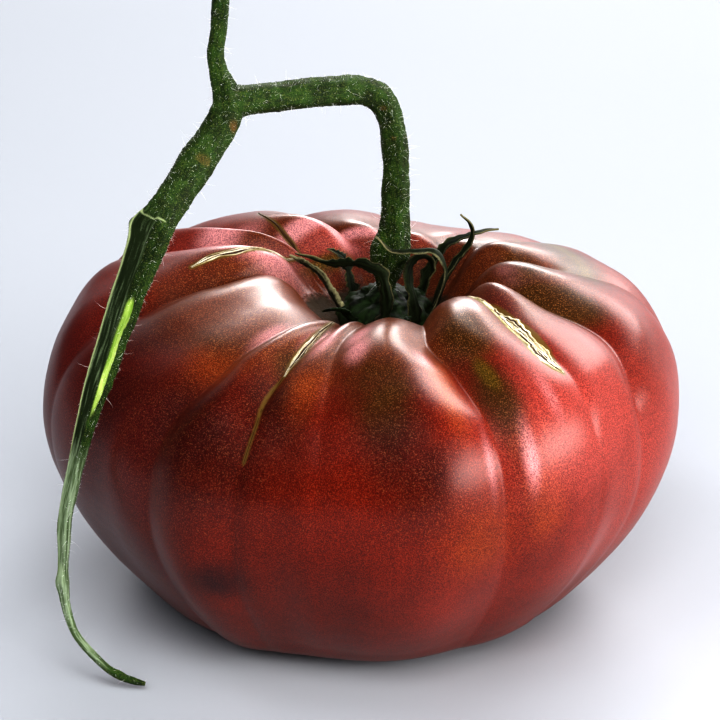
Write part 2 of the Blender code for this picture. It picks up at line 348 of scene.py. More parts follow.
# ---------------------------------------------------------------- finishes
@dataclass(frozen=True)
class SkinFinish:
    """Satin tomato skin: brick red with coral, mauve and olive shoulders, pale gold flecks, painted highlights
    and patches of deep red with painted shade.
    """

    flesh: Colour = (0.165, 0.0125, 0.0026)
    # Dark red, used both as the skin's own darker tone and as painted shade.
    deep: Colour = (0.034, 0.0020, 0.0008)
    coral: Colour = (0.245, 0.044, 0.034)
    mauve: Colour = (0.090, 0.0110, 0.0095)
    olive: Colour = (0.050, 0.0170, 0.0014)
    amber: Colour = (0.210, 0.0400, 0.0035)
    # Pale pink painted highlight colour, laid on crests where the lights give no highlight.
    bloom: Colour = (0.480, 0.220, 0.230)
    leaf: Colour = (0.080, 0.0450, 0.0020)
    bruise: Colour = (0.034, 0.0035, 0.0045)
    scar_edge: Colour = (0.120, 0.070, 0.014)
    cork: Colour = (0.045, 0.026, 0.010)
    umber: Colour = (0.108, 0.0225, 0.0058)
    fleck: Colour = (0.380, 0.190, 0.075)
    polish: float = 0.235
    pore_depth: float = 0.028
    crackle_depth: float = 0.35

    def material(self) -> bpy.types.Material:
        """Builds the skin's material. The mesh holds the tints, shoulder, scar, cork and streak."""
        g, shader, material = surface_material(
            "tomato_skin", IOR=1.45, Specular_IOR_Level=0.46)
        place = g.place()
        blotch = g.noise(place, 9.0, 3.0, 0.55)
        fine = g.noise(place, 0.70, 2.0, 0.7)
        grain = g.noise(place, 0.20, 1.0, 0.6)
        streak = g.noise(g.mesh_vector("streak"), STORED_PATTERN, 3.0, 0.6)

        soft = (streak * 0.4 + blotch * 0.6).eased(0.28, 0.72)
        red = g.mix(soft, g.mix(0.4, self.flesh, self.deep), self.flesh)
        # Deep red patches: partly the skin's own darker red, partly painted shade on the front of the fruit
        # and in grooves.
        red = g.mix((g.attribute("deep") * (0.6 + soft * 0.5)).eased(0.0, 0.9), red, self.deep)
        red = g.mix((g.attribute("amber") * (0.5 + blotch)).eased(0.05, 0.95), red, self.amber)
        umber = (g.attribute("shoulder") * (0.5 + blotch * 1.1) - g.attribute("blush") * 0.9).eased(0.0, 0.85)
        red = g.mix(umber, red, self.umber)
        red = g.mix((g.attribute("mauve") * (0.6 + blotch)).eased(0.15, 0.95), red, self.mauve)
        red = g.mix((g.attribute("blush") * (0.75 + streak * 0.5)).eased(0.05, 0.95), red, self.coral)
        # Painted highlights: pale pink streaks on the crests, in place of reflections of the lights.
        red = g.mix((g.attribute("bloom") * (0.5 + blotch)).eased(0.1, 1.0), red, self.bloom)
        red = g.mix((g.attribute("olive") * (0.45 + blotch + fine * 0.35)).eased(0.20, 0.95), red, self.olive)
        red = g.mix((g.attribute("leaf") * (0.5 + blotch)).eased(0.25, 0.95), red, self.leaf)
        red = g.mix((g.attribute("bruise") * (0.5 + blotch)).eased(0.2, 0.9), red, self.bruise)
        mottle = g.mix(grain.eased(0.32, 0.68), (0.50, 0.46, 0.46), (1.55, 1.60, 1.55))
        red = g.mix(0.9, red, mottle, "MULTIPLY")
        golden = (0.07 + g.attribute("olive") * 0.15 + g.attribute("amber") * 0.25
                  + g.attribute("shoulder") * 0.35 + g.attribute("deep") * 0.22)
        red = g.mix(grain.eased(0.55, 0.72) * golden, red, self.fleck)
        far, rare = g.dots(place, 1.3)
        spot = (1.0 - far / (0.04 + rare * 0.06)).eased(0.0, 0.5) * rare.eased(0.4, 0.9)
        red = g.mix(spot * 0.5, red, self.fleck)

        halo = (g.attribute("scar") * (0.55 + fine * 0.9)).eased(0.25, 0.95)
        red = g.mix(halo, red, self.scar_edge)
        crackle = g.noise(place, 1.1, 4.0, 0.7, 0.8)
        cork = (g.attribute("cork") * (0.2 + crackle * 1.5)).eased(0.45, 0.85)
        red = g.mix(cork, red, self.cork)

        rough = self.polish + grain * 0.12 + fine * 0.06 + cork * 0.35
        normal = g.bump(fine * 0.45 + grain * 0.55, self.pore_depth, 0.8)
        normal = g.bump(crackle * cork, self.crackle_depth, 0.9, normal)
        finish_shader(g, shader, Base_Color=red, Roughness=rough, Normal=normal)
        return material


@dataclass(frozen=True)
class CorkFinish:
    """Healed growth cracks: cream cork, striped along the crack, with dark pits and yellow edges."""

    name: str = "scar_cork"
    cream: Colour = (0.76, 0.72, 0.60)
    straw: Colour = (0.30, 0.24, 0.12)
    edge: Colour = (0.30, 0.27, 0.10)
    pit: Colour = (0.045, 0.022, 0.010)

    def material(self) -> bpy.types.Material:
        """Builds the cork's material. The mesh holds along (a vector), rim and pit."""
        g, shader, material = surface_material(self.name, Specular_IOR_Level=0.35)
        along = g.mesh_vector("along")
        stripe = g.noise(along, STORED_PATTERN, 4.0, 0.65, 0.3)
        crumb = g.noise(g.place(), 0.35, 3.0, 0.7)
        colour = g.mix(stripe.eased(0.38, 0.62), self.straw, self.cream)
        colour = g.mix((crumb * stripe).eased(0.16, 0.24), self.straw, colour)
        rim = g.attribute("rim")
        colour = g.mix((rim * (0.6 + crumb)).eased(0.45, 1.0), colour, self.edge)
        dark = (g.attribute("pit") * (0.4 + crumb * 1.2)).eased(0.45, 0.7)
        colour = g.mix(dark, colour, self.pit)
        normal = g.bump(stripe * 0.7 + crumb * 0.3, 0.22, 1.0)
        finish_shader(g, shader, Base_Color=colour, Roughness=0.62 + crumb * 0.2, Normal=normal)
        return material


@dataclass(frozen=True)
class StalkFinish:
    """Green stalk skin: matt, finely mottled, with tan scabs, and paler where it is torn open."""

    skin: Colour = (0.026, 0.064, 0.009)
    shade: Colour = (0.005, 0.014, 0.002)
    frost: Colour = (0.170, 0.185, 0.050)
    scab: Colour = (0.190, 0.105, 0.030)
    hollow: Colour = (0.018, 0.030, 0.009)
    fibre: Colour = (0.200, 0.260, 0.150)
    pith: Colour = (0.450, 0.560, 0.170)
    lip: Colour = (0.300, 0.350, 0.190)
    scab_rim: Colour = (0.06, 0.03, 0.01)
    pith_shade: Colour = (0.20, 0.33, 0.045)
    dry: Colour = (0.300, 0.370, 0.250)
    dry_shade: Colour = (0.085, 0.125, 0.055)
    grit_depth: float = 0.16

    def material(self) -> bpy.types.Material:
        """Builds the stalk's material. The mesh holds along, scab, cut, pith, lip and dry."""
        g, shader, material = surface_material("green_stalk", Specular_IOR_Level=0.3)
        place = g.place()
        along = g.mesh_vector("along")
        fibres = g.noise(along, STORED_PATTERN, 3.0, 0.6)
        patch = g.noise(place, 2.6, 3.0, 0.6)
        grit = g.noise(place, 0.22, 2.0, 0.8)
        colour = g.mix((patch * 0.6 + fibres * 0.4).eased(0.36, 0.64), self.shade, self.skin)
        colour = g.mix(grit.eased(0.52, 0.68) * 0.65, colour, self.frost)
        colour = g.mix(grit.eased(0.48, 0.32) * 0.85, colour, self.shade)
        scab = (g.attribute("scab") * (0.35 + patch + grit * 0.4)).eased(0.45, 0.9)
        colour = g.mix(scab, colour, g.mix(grit.eased(0.35, 0.6), self.scab_rim, self.scab))
        inner = g.mix((fibres * 0.8 + grit * 0.2).eased(0.48, 0.72), self.hollow, self.fibre)
        colour = g.mix(g.attribute("cut"), colour, inner)
        pith = g.mix(fibres.eased(0.3, 0.7), self.pith_shade, self.pith)
        colour = g.mix((g.attribute("pith") * (0.7 + fibres * 0.6)).eased(0.35, 0.8), colour, pith)
        colour = g.mix((g.attribute("lip") * (0.6 + grit * 0.8)).eased(0.35, 0.9), colour, self.lip)
        pale = g.mix(fibres.eased(0.40, 0.60), self.dry_shade, self.dry)
        colour = g.mix((g.attribute("dry") * (0.55 + fibres * 0.7)).eased(0.3, 0.9) * 0.85, colour, pale)
        height = grit * 0.6 + fibres * 0.4
        finish_shader(g, shader, Base_Color=colour, Roughness=0.55 + grit * 0.3,
                      Normal=g.bump(height, self.grit_depth, 0.9))
        return material


@dataclass(frozen=True)
class DryLeafFinish:
    """Dried sepals: black-green straps, tan along their edges and tips."""

    name: str
    green: Colour = (0.016, 0.026, 0.008)
    dark: Colour = (0.003, 0.004, 0.0015)
    tan: Colour = (0.140, 0.125, 0.055)
    tan_share: float = 0.5

    def material(self) -> bpy.types.Material:
        """Builds the leaf's material. The mesh holds along and edge."""
        g, shader, material = surface_material(self.name, Specular_IOR_Level=0.35)
        vein = g.noise(g.mesh_vector("along"), STORED_PATTERN, 3.0, 0.6)
        grit = g.noise(g.place(), 0.4, 3.0, 0.7)
        colour = g.mix((vein * 0.7 + grit * 0.3).eased(0.38, 0.62), self.dark, self.green)
        dry = g.attribute("edge") * 0.55 + vein * 0.5 + grit * 0.35
        dry = dry.eased(1.15 - self.tan_share, 1.5 - self.tan_share)
        colour = g.mix(dry, colour, self.tan)
        finish_shader(g, shader, Base_Color=colour, Roughness=0.55 + grit * 0.3,
                      Normal=g.bump(vein * 0.6 + grit * 0.4, 0.20, 1.0))
        return material


@dataclass(frozen=True)
class HairFinish:
    """Pale, matt plant hairs."""

    tip: Colour = (0.15, 0.16, 0.09)
    shade: Colour = (0.04, 0.05, 0.02)

    def material(self) -> bpy.types.Material:
        """Builds the hairs' material."""
        g, shader, material = surface_material("stalk_hair", Roughness=0.8, Specular_IOR_Level=0.1)
        tone = g.noise(g.place(), 2.0, 1.0)
        finish_shader(g, shader, Base_Color=g.mix(tone.eased(0.35, 0.65), self.shade, self.tip))
        return material


# ---------------------------------------------------------------- meshes
Attributes = dict[str, Array]


def make_piece(name: str, points: Array, faces: list[tuple[int, ...]], material: bpy.types.Material,
               attributes: Attributes | None = None) -> bpy.types.Object:
    """Writes a smooth mesh object at the origin.

    Args:
        name: The piece's name.
        points: Vertices in millimetres, rows of x, y, z.
        faces: Vertex numbers of each face.
        material: The piece's finish.
        attributes: Values for each vertex, as numbers or as rows of three.

    Returns:
        The object.
    """
    mesh = bpy.data.meshes.new(name)
    mesh.from_pydata((points * MM).tolist(), [], faces)
    for key, values in (attributes or {}).items():
        wide = values.ndim == 2
        layer = mesh.attributes.new(key, "FLOAT_VECTOR" if wide else "FLOAT", "POINT")
        layer.data.foreach_set("vector" if wide else "value", values.astype(np.float32).ravel())
    mesh.shade_smooth()
    mesh.materials.append(material)
    mesh.validate()
    piece = bpy.data.objects.new(name, mesh)
    bpy.context.collection.objects.link(piece)
    return piece


def tube_faces(rows: int, columns: int) -> list[tuple[int, ...]]:
    """Faces of a closed tube whose vertices are rows of rings, wound outwards for counterclockwise rings.

    Args:
        rows: How many rings.
        columns: Vertices in each ring.

    Returns:
        The faces.
    """
    k = np.arange(rows - 1)[:, None] * columns
    j = np.arange(columns)[None, :]
    following = (j + 1) % columns
    quads = np.stack([k + j, k + following, k + columns + following, k + columns + j], axis=-1)
    faces = [tuple(q) for q in quads.reshape(-1, 4).tolist()]
    faces.append(tuple(range(columns))[::-1])
    faces.append(tuple(range((rows - 1) * columns, rows * columns)))
    return faces


def outward(piece: bpy.types.Object) -> bpy.types.Object:
    """Turns a closed mesh's faces outwards.

    Args:
        piece: The object of the mesh.

    Returns:
        The same object.
    """
    bm = bmesh.new()
    bm.from_mesh(piece.data)
    bmesh.ops.recalc_face_normals(bm, faces=bm.faces[:])
    bm.to_mesh(piece.data)
    bm.free()
    return piece


def settle(piece: bpy.types.Object, slot: str, *nodes: str) -> None:
    """Rides a piece on the body and reports it.

    Args:
        piece: The finished piece.
        slot: The record's slot that its finish belongs to.
        *nodes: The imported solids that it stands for.
    """
    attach(piece, BODY)
    if nodes:
        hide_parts(*nodes)
    LOG.info("%s: %d faces, slot %s", piece.name, len(piece.data.polygons), slot)


# ---------------------------------------------------------------- fruit
LOW, EQUATOR, SHOULDER, CREST, RIM, FLOOR = 3, 5, 7, 8, 10, 12   # stations on the profile
NARROWEST = 11.0    # the least distance from the axis that widths round the fruit are measured at


@dataclass(frozen=True)
class Groove:
    """A valley from the stem cavity down the side.

    Azimuth and depth are given at rim, crest, shoulder, equator and low, and widths are its two half
    widths. Rise and swell lift the lobe that follows it at the crest and at the belly.
    """

    azimuth: tuple[float, ...]
    depth: tuple[float, ...]
    widths: tuple[float, float]
    rise: float = 0.0
    swell: float = 0.0

    @staticmethod
    def along(values: tuple[float, ...], u: Array) -> Array:
        """Eases five values along the profile.

        Args:
            values: The values at rim, crest, shoulder, equator and low.
            u: Profile positions.

        Returns:
            The eased values, of u's shape.
        """
        stations = (LOW, EQUATOR, SHOULDER, CREST, RIM)
        steps = values[::-1]
        out = np.full(np.shape(u), float(steps[0]))
        for k in range(len(stations) - 1):
            out = out + (steps[k + 1] - steps[k]) * smoothstep(stations[k], stations[k + 1], u)
        return out


class Tint(Enum):
    """The ways a patch of skin differs from plain red; two are painted light: pale painted highlights, and
    deep red that is partly painted shade.
    """

    BLUSH = "blush"
    MAUVE = "mauve"
    OLIVE = "olive"
    LEAF = "leaf"
    BRUISE = "bruise"
    DEEP = "deep"
    AMBER = "amber"
    BLOOM = "bloom"


@dataclass(frozen=True)
class Zone:
    """A soft-edged patch of one tint, centred on an azimuth and a profile position."""

    tint: Tint
    azimuth: float
    at: float
    around: float
    along: float
    strength: float = 1.0


# Patches of each tint: azimuth in degrees, profile position, reach round and along in millimetres, strength.
PATCHES: dict[Tint, tuple[tuple[float, ...], ...]] = {
    # Deep red patches: partly the skin's own darker red, partly painted shade on the front of the fruit and in
    # grooves.
    Tint.DEEP: ((232, 5.6, 26, 17), (250, 6.4, 9, 14), (200, 3.2, 26, 16, 0.8), (277, 6.0, 8, 15, 0.9),
                (205, 7.0, 10, 12), (345, 7.5, 6, 10), (172, 8.2, 8, 8, 0.9), (281, 5.2, 8, 10, 0.8),
                (243, 7.2, 3, 8, 0.9), (218, 7.3, 9, 9, 0.8), (215, 5.2, 22, 16, 0.8), (300, 7.6, 5, 7, 0.9),
                (302, 5.6, 3.5, 14, 0.9), (345, 5.6, 8, 14, 0.4)),
    Tint.AMBER: ((305, 4.6, 5, 10, 0.6), (230, 7.3, 8, 9, 0.9), (257, 7.0, 4, 10, 0.7), (290, 6.7, 3, 11, 0.8),
                 (276, 8.7, 14, 4, 0.7), (292, 4.2, 9, 10, 0.5), (268, 7.6, 3, 5, 0.6)),
    Tint.BLUSH: ((316, 5.4, 20, 14), (350, 4.2, 40, 17, 0.9), (30, 4.4, 46, 18, 0.9), (80, 4.2, 50, 14, 0.8),
                 (120, 9.6, 9, 7, 0.9), (290, 3.0, 16, 14, 0.4), (325, 3.4, 14, 12, 0.8), (70, 8.9, 7, 5, 0.5),
                 (150, 7.2, 14, 8, 0.6)),
    Tint.MAUVE: ((196, 4.6, 38, 26), (215, 3.2, 22, 18, 0.7), (160, 7.6, 16, 10, 0.5), (325, 8.0, 5, 9, 0.7)),
    Tint.OLIVE: ((274, 6.7, 8, 12, 0.7), (223, 7.5, 9, 6, 0.5), (303.5, 7.6, 5, 9, 0.8),
                 (300.5, 6.2, 4, 13, 0.8), (346, 7.4, 5, 10, 1.2), (20, 6.9, 20, 6, 0.9),
                 (248, 7.4, 3, 5, 0.7), (5, 8.0, 12, 8, 0.8), (40, 8.0, 14, 6, 0.7)),
    # Painted highlights: pale pink streaks on crests and lobes, in place of reflections of the lights.
    Tint.BLOOM: ((158, 8.5, 4, 13, 1.0), (310.5, 6.0, 1.8, 6, 0.5), (302.4, 5.3, 1.6, 7, 0.9),
                 (294.7, 5.2, 1.3, 7, 0.6), (147, 7.7, 10, 4.0, 1.0), (250, 8.1, 1.6, 5, 0.9),
                 (233.6, 7.94, 1.8, 5, 0.8), (269, 7.55, 2.2, 4, 1.0), (287.5, 7.2, 1.8, 3.5, 0.6),
                 (357.5, 8.3, 2.5, 6, 0.8), (101, 8.85, 7, 2.5, 1.0), (128, 8.75, 6, 2.5, 1.0),
                 (267, 8.0, 2.2, 3.5, 0.9), (255, 8.0, 2.0, 5, 0.7), (238, 8.1, 1.6, 5, 0.6),
                 (112, 9.6, 3, 4, 0.7), (352, 8.3, 2.2, 6, 0.5)),
    Tint.LEAF: ((301.3, 6.7, 1.6, 5), (26, 6.8, 20, 2, 0.8), (128, 10.4, 6, 2.5, 1.0)),
    Tint.BRUISE: ((242.7, 3.4, 7, 6, 0.75), (282.5, 5.4, 5, 6, 0.4)),
}


@dataclass
class Fruit:
    """The ribbed berry: a turned profile with valleys that run from the stem cavity over the shoulders."""

    profile: list[tuple[float, float]] = field(default_factory=lambda: [
        (18.0, 0.0), (33.6, 1.8), (41.0, 7.6), (49.0, 19.0), (53.6, 31.3), (53.1, 42.5), (47.4, 52.2),
        (37.3, 56.9), (27.0, 59.2), (20.2, 58.4), (15.6, 55.2), (13.2, 51.0), (11.2, 47.9), (7.5, 47.5)])
    cavity: tuple[float, float] = (4.3, 4.5)
    oval: tuple[float, ...] = (0.002, 0.003, 0.030, -0.003)
    tilt: tuple[float, ...] = (0.1, -0.15, 0.6, -1.1)
    crease: float = 0.25
    grooves: list[Groove] = field(default_factory=lambda: [
        Groove((16, 15, 11, 5, 3), (2.0, 2.2, 1.8, 0.7, 0.3), (8, 9), 0.3, -0.4),
        Groove((40, 41, 42, 42, 42), (2.2, 2.4, 2.0, 0.9, 0.5), (7, 8), -0.8, -0.8),
        Groove((60, 60, 59, 59, 59), (3.2, 3.9, 3.0, 1.0, 0.5), (8, 7), -0.8, -1.8),
        Groove((82, 82, 81, 80, 80), (3.0, 3.4, 2.8, 1.2, 0.6), (9, 8), -0.5, -0.5),
        Groove((105, 105, 105, 104, 104), (2.8, 3.4, 2.6, 0.9, 0.4), (9, 9), 0.5, -0.8),
        Groove((138, 138, 138, 139, 139), (3.4, 4.0, 2.6, 0.8, 0.4), (4, 10)),
        Groove((148, 150, 152, 153, 153), (3.4, 3.6, 3.0, 1.2, 0.6), (9, 5), 0.0, -1.0),
        Groove((166, 180, 189, 194, 196), (3.6, 4.4, 3.4, 1.2, 0.6), (12, 9), 0.0, -1.5),
        Groove((236, 235, 233, 229, 228), (1.4, 1.6, 1.6, 1.1, 0.8), (6, 9), 0.0, 1.5),
        Groove((250, 250, 248, 247, 246), (2.2, 2.4, 2.0, 0.9, 0.4), (4, 5), 0.0, -1.0),
        Groove((262, 261, 262, 262, 262), (1.2, 1.2, 1.2, 0.5, 0.2), (7, 4), 0.0, 1.5),
        Groove((290, 292, 296, 297, 298), (2.6, 3.0, 3.2, 1.6, 0.6), (7, 10)),
        Groove((325, 323, 320, 318, 317), (2.0, 2.2, 1.8, 0.7, 0.3), (6, 7), 0.0, -1.2),
        Groove((347, 345, 342, 332, 330), (3.2, 3.8, 3.4, 1.8, 1.0), (10, 7), 0.0, -0.3)])
    rows: int = 188
    columns: int = 440
    bunching: float = 0.35
    base_rings: int = 12
    base_hollow: float = 0.4
    waver_depth: float = 0.14
    dimple_depth: float = 0.010
    waver: Ripple = Ripple(14.0, 45.0, 11)
    dimple: Ripple = Ripple(2.2, 6.5, 12, 36)
    zones: list[Zone] = field(default_factory=lambda: [
        Zone(tint, *patch) for tint, patches in PATCHES.items() for patch in patches])

    def harmonics(self, terms: tuple[float, ...], azimuth: Array) -> Array:
        """A smooth variation round the fruit from cos, sin, cos 2 and sin 2 terms."""
        c1, s1, c2, s2 = terms
        return (c1 * np.cos(azimuth) + s1 * np.sin(azimuth)
                + c2 * np.cos(2 * azimuth) + s2 * np.sin(2 * azimuth))

    def routes(self, u: Array) -> tuple[Array, Array]:
        """Azimuth of each groove at u, and the span to the next one, in radians."""
        routes = np.array([np.radians(Groove.along(g.azimuth, u)) for g in self.grooves])
        return routes, (np.roll(routes, -1, axis=0) - routes) % (2 * np.pi)

    def valleys(self, u: Array, azimuth: Array, arm: Array) -> tuple[Array, Array]:
        """Works out the valleys and lobes.

        Args:
            u: Profile positions.
            azimuth: Azimuths in radians, of the same shape.
            arm: Distance from the axis in millimetres.

        Returns:
            The shift along the profile's normal and the gain in height.
        """
        routes, spans = self.routes(u)
        spread = 0.35 + 0.65 * np.minimum(arm / 35.0, 1.25)
        fade = smoothstep(FLOOR, RIM, u) * smoothstep(0.2, LOW, u)
        crest_share = smoothstep(EQUATOR, CREST, u) * smoothstep(FLOOR, RIM - 0.5, u)
        belly_share = smoothstep(0.5, LOW, u) * smoothstep(CREST + 1, SHOULDER, u)
        shift, gain = np.zeros_like(azimuth), np.zeros_like(azimuth)
        for k, groove in enumerate(self.grooves):
            away = (azimuth - routes[k] + np.pi) % (2 * np.pi) - np.pi
            reach = np.where(away > 0, groove.widths[0], groove.widths[1]) * spread
            distance = np.hypot(away * arm, self.crease) - self.crease
            bowl = np.clip(1 - distance / reach, 0, 1) ** 2
            shift -= Groove.along(groove.depth, u) * fade * bowl
            share = ((azimuth - routes[k]) % (2 * np.pi)) / spans[k]
            lobe = np.sin(np.pi * np.clip(share, 0, 1)) ** 1.5
            shift += lobe * groove.swell * belly_share
            gain += lobe * groove.rise * crest_share
        return shift, gain

    def surface(self, u: Array, azimuth: Array) -> Array:
        """Places points on the skin.

        Args:
            u: Profile positions.
            azimuth: Azimuths in radians, of the same shape.

        Returns:
            The points in millimetres.
        """
        base = smooth_curve(self.profile, u)
        step = 0.001
        tangent = unit(smooth_curve(self.profile, u + step) - smooth_curve(self.profile, u - step))
        radius, height = base[..., 0], base[..., 1]
        arm = np.maximum(radius, NARROWEST)
        shift, gain = self.valleys(u, azimuth, arm)
        outer = smoothstep(12.5, 7.0, u)
        lifted = smoothstep(25, 50, height) * smoothstep(12.2, 9.5, u)
        r = radius * (1 + self.harmonics(self.oval, azimuth) * outer) + shift * tangent[..., 1]
        z = height + self.harmonics(self.tilt, azimuth) * lifted + gain - shift * tangent[..., 0]
        towards = smoothstep(34, 13, radius) * (u > EQUATOR)
        x = r * np.cos(azimuth) + towards * self.cavity[0]
        y = r * np.sin(azimuth) + towards * self.cavity[1]
        points = np.stack([x, y, z], axis=-1)
        calm = smoothstep(0.3, 2.0, u) * smoothstep(12.5, 11.0, u)
        uneven = (self.waver_depth * self.waver.at(points) + self.dimple_depth * self.dimple.at(points)) * calm
        points[..., 0] += uneven * tangent[..., 1] * np.cos(azimuth)
        points[..., 1] += uneven * tangent[..., 1] * np.sin(azimuth)
        points[..., 2] += uneven * -tangent[..., 0]
        points[..., 2] = np.maximum(points[..., 2], 0.0)
        return points

    def frame_at(self, u: Array, azimuth: Array) -> tuple[Array, Array, Array, Array]:
        """Reads the skin and how it runs.

        Args:
            u: Profile positions.
            azimuth: Azimuths in radians, of the same shape.

        Returns:
            The points, their outward normals, and their changes with u and with azimuth.
        """
        step = 0.01
        point = self.surface(u, azimuth)
        with_u = (self.surface(u + step, azimuth) - self.surface(u - step, azimuth)) / (2 * step)
        with_a = (self.surface(u, azimuth + step) - self.surface(u, azimuth - step)) / (2 * step)
        return point, unit(np.cross(with_a, with_u)), with_u, with_a

    def arc(self, u: Array) -> Array:
        """Measures along the profile.

        Args:
            u: Profile positions.

        Returns:
            The distance of each from the profile's start, in millimetres.
        """
        fine = np.linspace(0, len(self.profile) - 1, FINE_STEPS)
        path = smooth_curve(self.profile, fine)
        length = np.concatenate([[0], np.cumsum(np.linalg.norm(np.diff(path, axis=0), axis=1))])
        return np.interp(u, fine, length)

    def grid(self) -> tuple[Array, Array]:
        """Profile positions and azimuths of the mesh, with columns that follow the grooves."""
        ends = self.arc(np.array([0.0, len(self.profile) - 1.0]))
        fine = np.linspace(0, len(self.profile) - 1, FINE_STEPS)
        u = np.interp(np.linspace(ends[0], ends[1], self.rows), self.arc(fine), fine)[:, None]
        routes, spans = self.routes(u)
        columns = []
        for k in range(len(self.grooves)):
            count = max(6, round(float(np.mean(spans[k])) / (2 * np.pi) * self.columns))
            share = np.arange(count) / count
            share = share - self.bunching * np.sin(2 * np.pi * share) / (2 * np.pi)
            columns.append(routes[k] + share[None, :] * spans[k])
        azimuth = np.concatenate(columns, axis=1)
        return np.repeat(u, azimuth.shape[1], axis=1), azimuth

    def tints(self, u: Array, azimuth: Array) -> Attributes:
        """Works out how strongly each tint shows.

        Args:
            u: Profile positions.
            azimuth: Azimuths in radians, of the same shape.

        Returns:
            The strength at each point, by the tint's name.
        """
        arm = np.maximum(smooth_curve(self.profile, u)[..., 0], NARROWEST)
        arc = self.arc(u)
        shown = {tint.value: np.zeros(u.shape) for tint in Tint}
        for zone in self.zones:
            away = (azimuth - np.radians(zone.azimuth) + np.pi) % (2 * np.pi) - np.pi
            ahead = arc - float(self.arc(np.array([zone.at]))[0])
            near = np.exp(-(away * arm / zone.around) ** 2 - (ahead / zone.along) ** 2)
            shown[zone.tint.value] = np.maximum(shown[zone.tint.value], zone.strength * near)
        return shown

    def build(self, finish: bpy.types.Material, scars: "Scars") -> bpy.types.Object:
        """Meshes the berry.

        Args:
            finish: The skin's material.
            scars: The healed cracks, which tint the skin next to them.

        Returns:
            The fruit's object.
        """
        u, azimuth = self.grid()
        points = self.surface(u, azimuth)
        points[-1, :, 2] = points[-1, :, 2].mean()
        attributes = self.tints(u, azimuth)
        attributes["cork"] = smoothstep(10.7, 11.9, u + 0.25 * self.waver.at(points * 2.2))
        attributes["scar"] = scars.nearness(points)
        attributes["shoulder"] = smoothstep(6.3, 8.2, u)
        rows, columns = u.shape
        streak = np.stack([np.cos(azimuth) * 9.0, np.sin(azimuth) * 9.0, self.arc(u) * 0.035], axis=-1)
        shares = np.linspace(0.04, 1, self.base_rings, endpoint=False)
        under = points[0][None] * shares[:, None, None]
        under[..., 2] = self.base_hollow * smoothstep(0.42, 0.10, shares)[:, None]
        points = np.concatenate([under, points])
        for key, values in attributes.items():
            pad = np.repeat(values[:1], self.base_rings, axis=0)
            if key == "cork":
                pad = np.repeat(smoothstep(0.34, 0.12, shares)[:, None], columns, axis=1)
            attributes[key] = np.concatenate([pad, values]).ravel()
        streak = np.concatenate([np.repeat(streak[:1], self.base_rings, axis=0), streak])
        attributes["streak"] = streak.reshape(-1, 3)
        faces = tube_faces(rows + self.base_rings, columns)
        return make_piece("tomato_fruit", points.reshape(-1, 3), faces, finish, attributes)


# ---------------------------------------------------------------- growth scars
@dataclass(frozen=True)
class Scar:
    """A healed crack along a route of (azimuth in degrees, profile position), with widths in millimetres."""

    name: str
    route: tuple[tuple[float, float], ...]
    widths: tuple[float, ...]
    height: float = 0.25
    pits: float = 0.3
    seed: int = 1
    ridges: int = 3


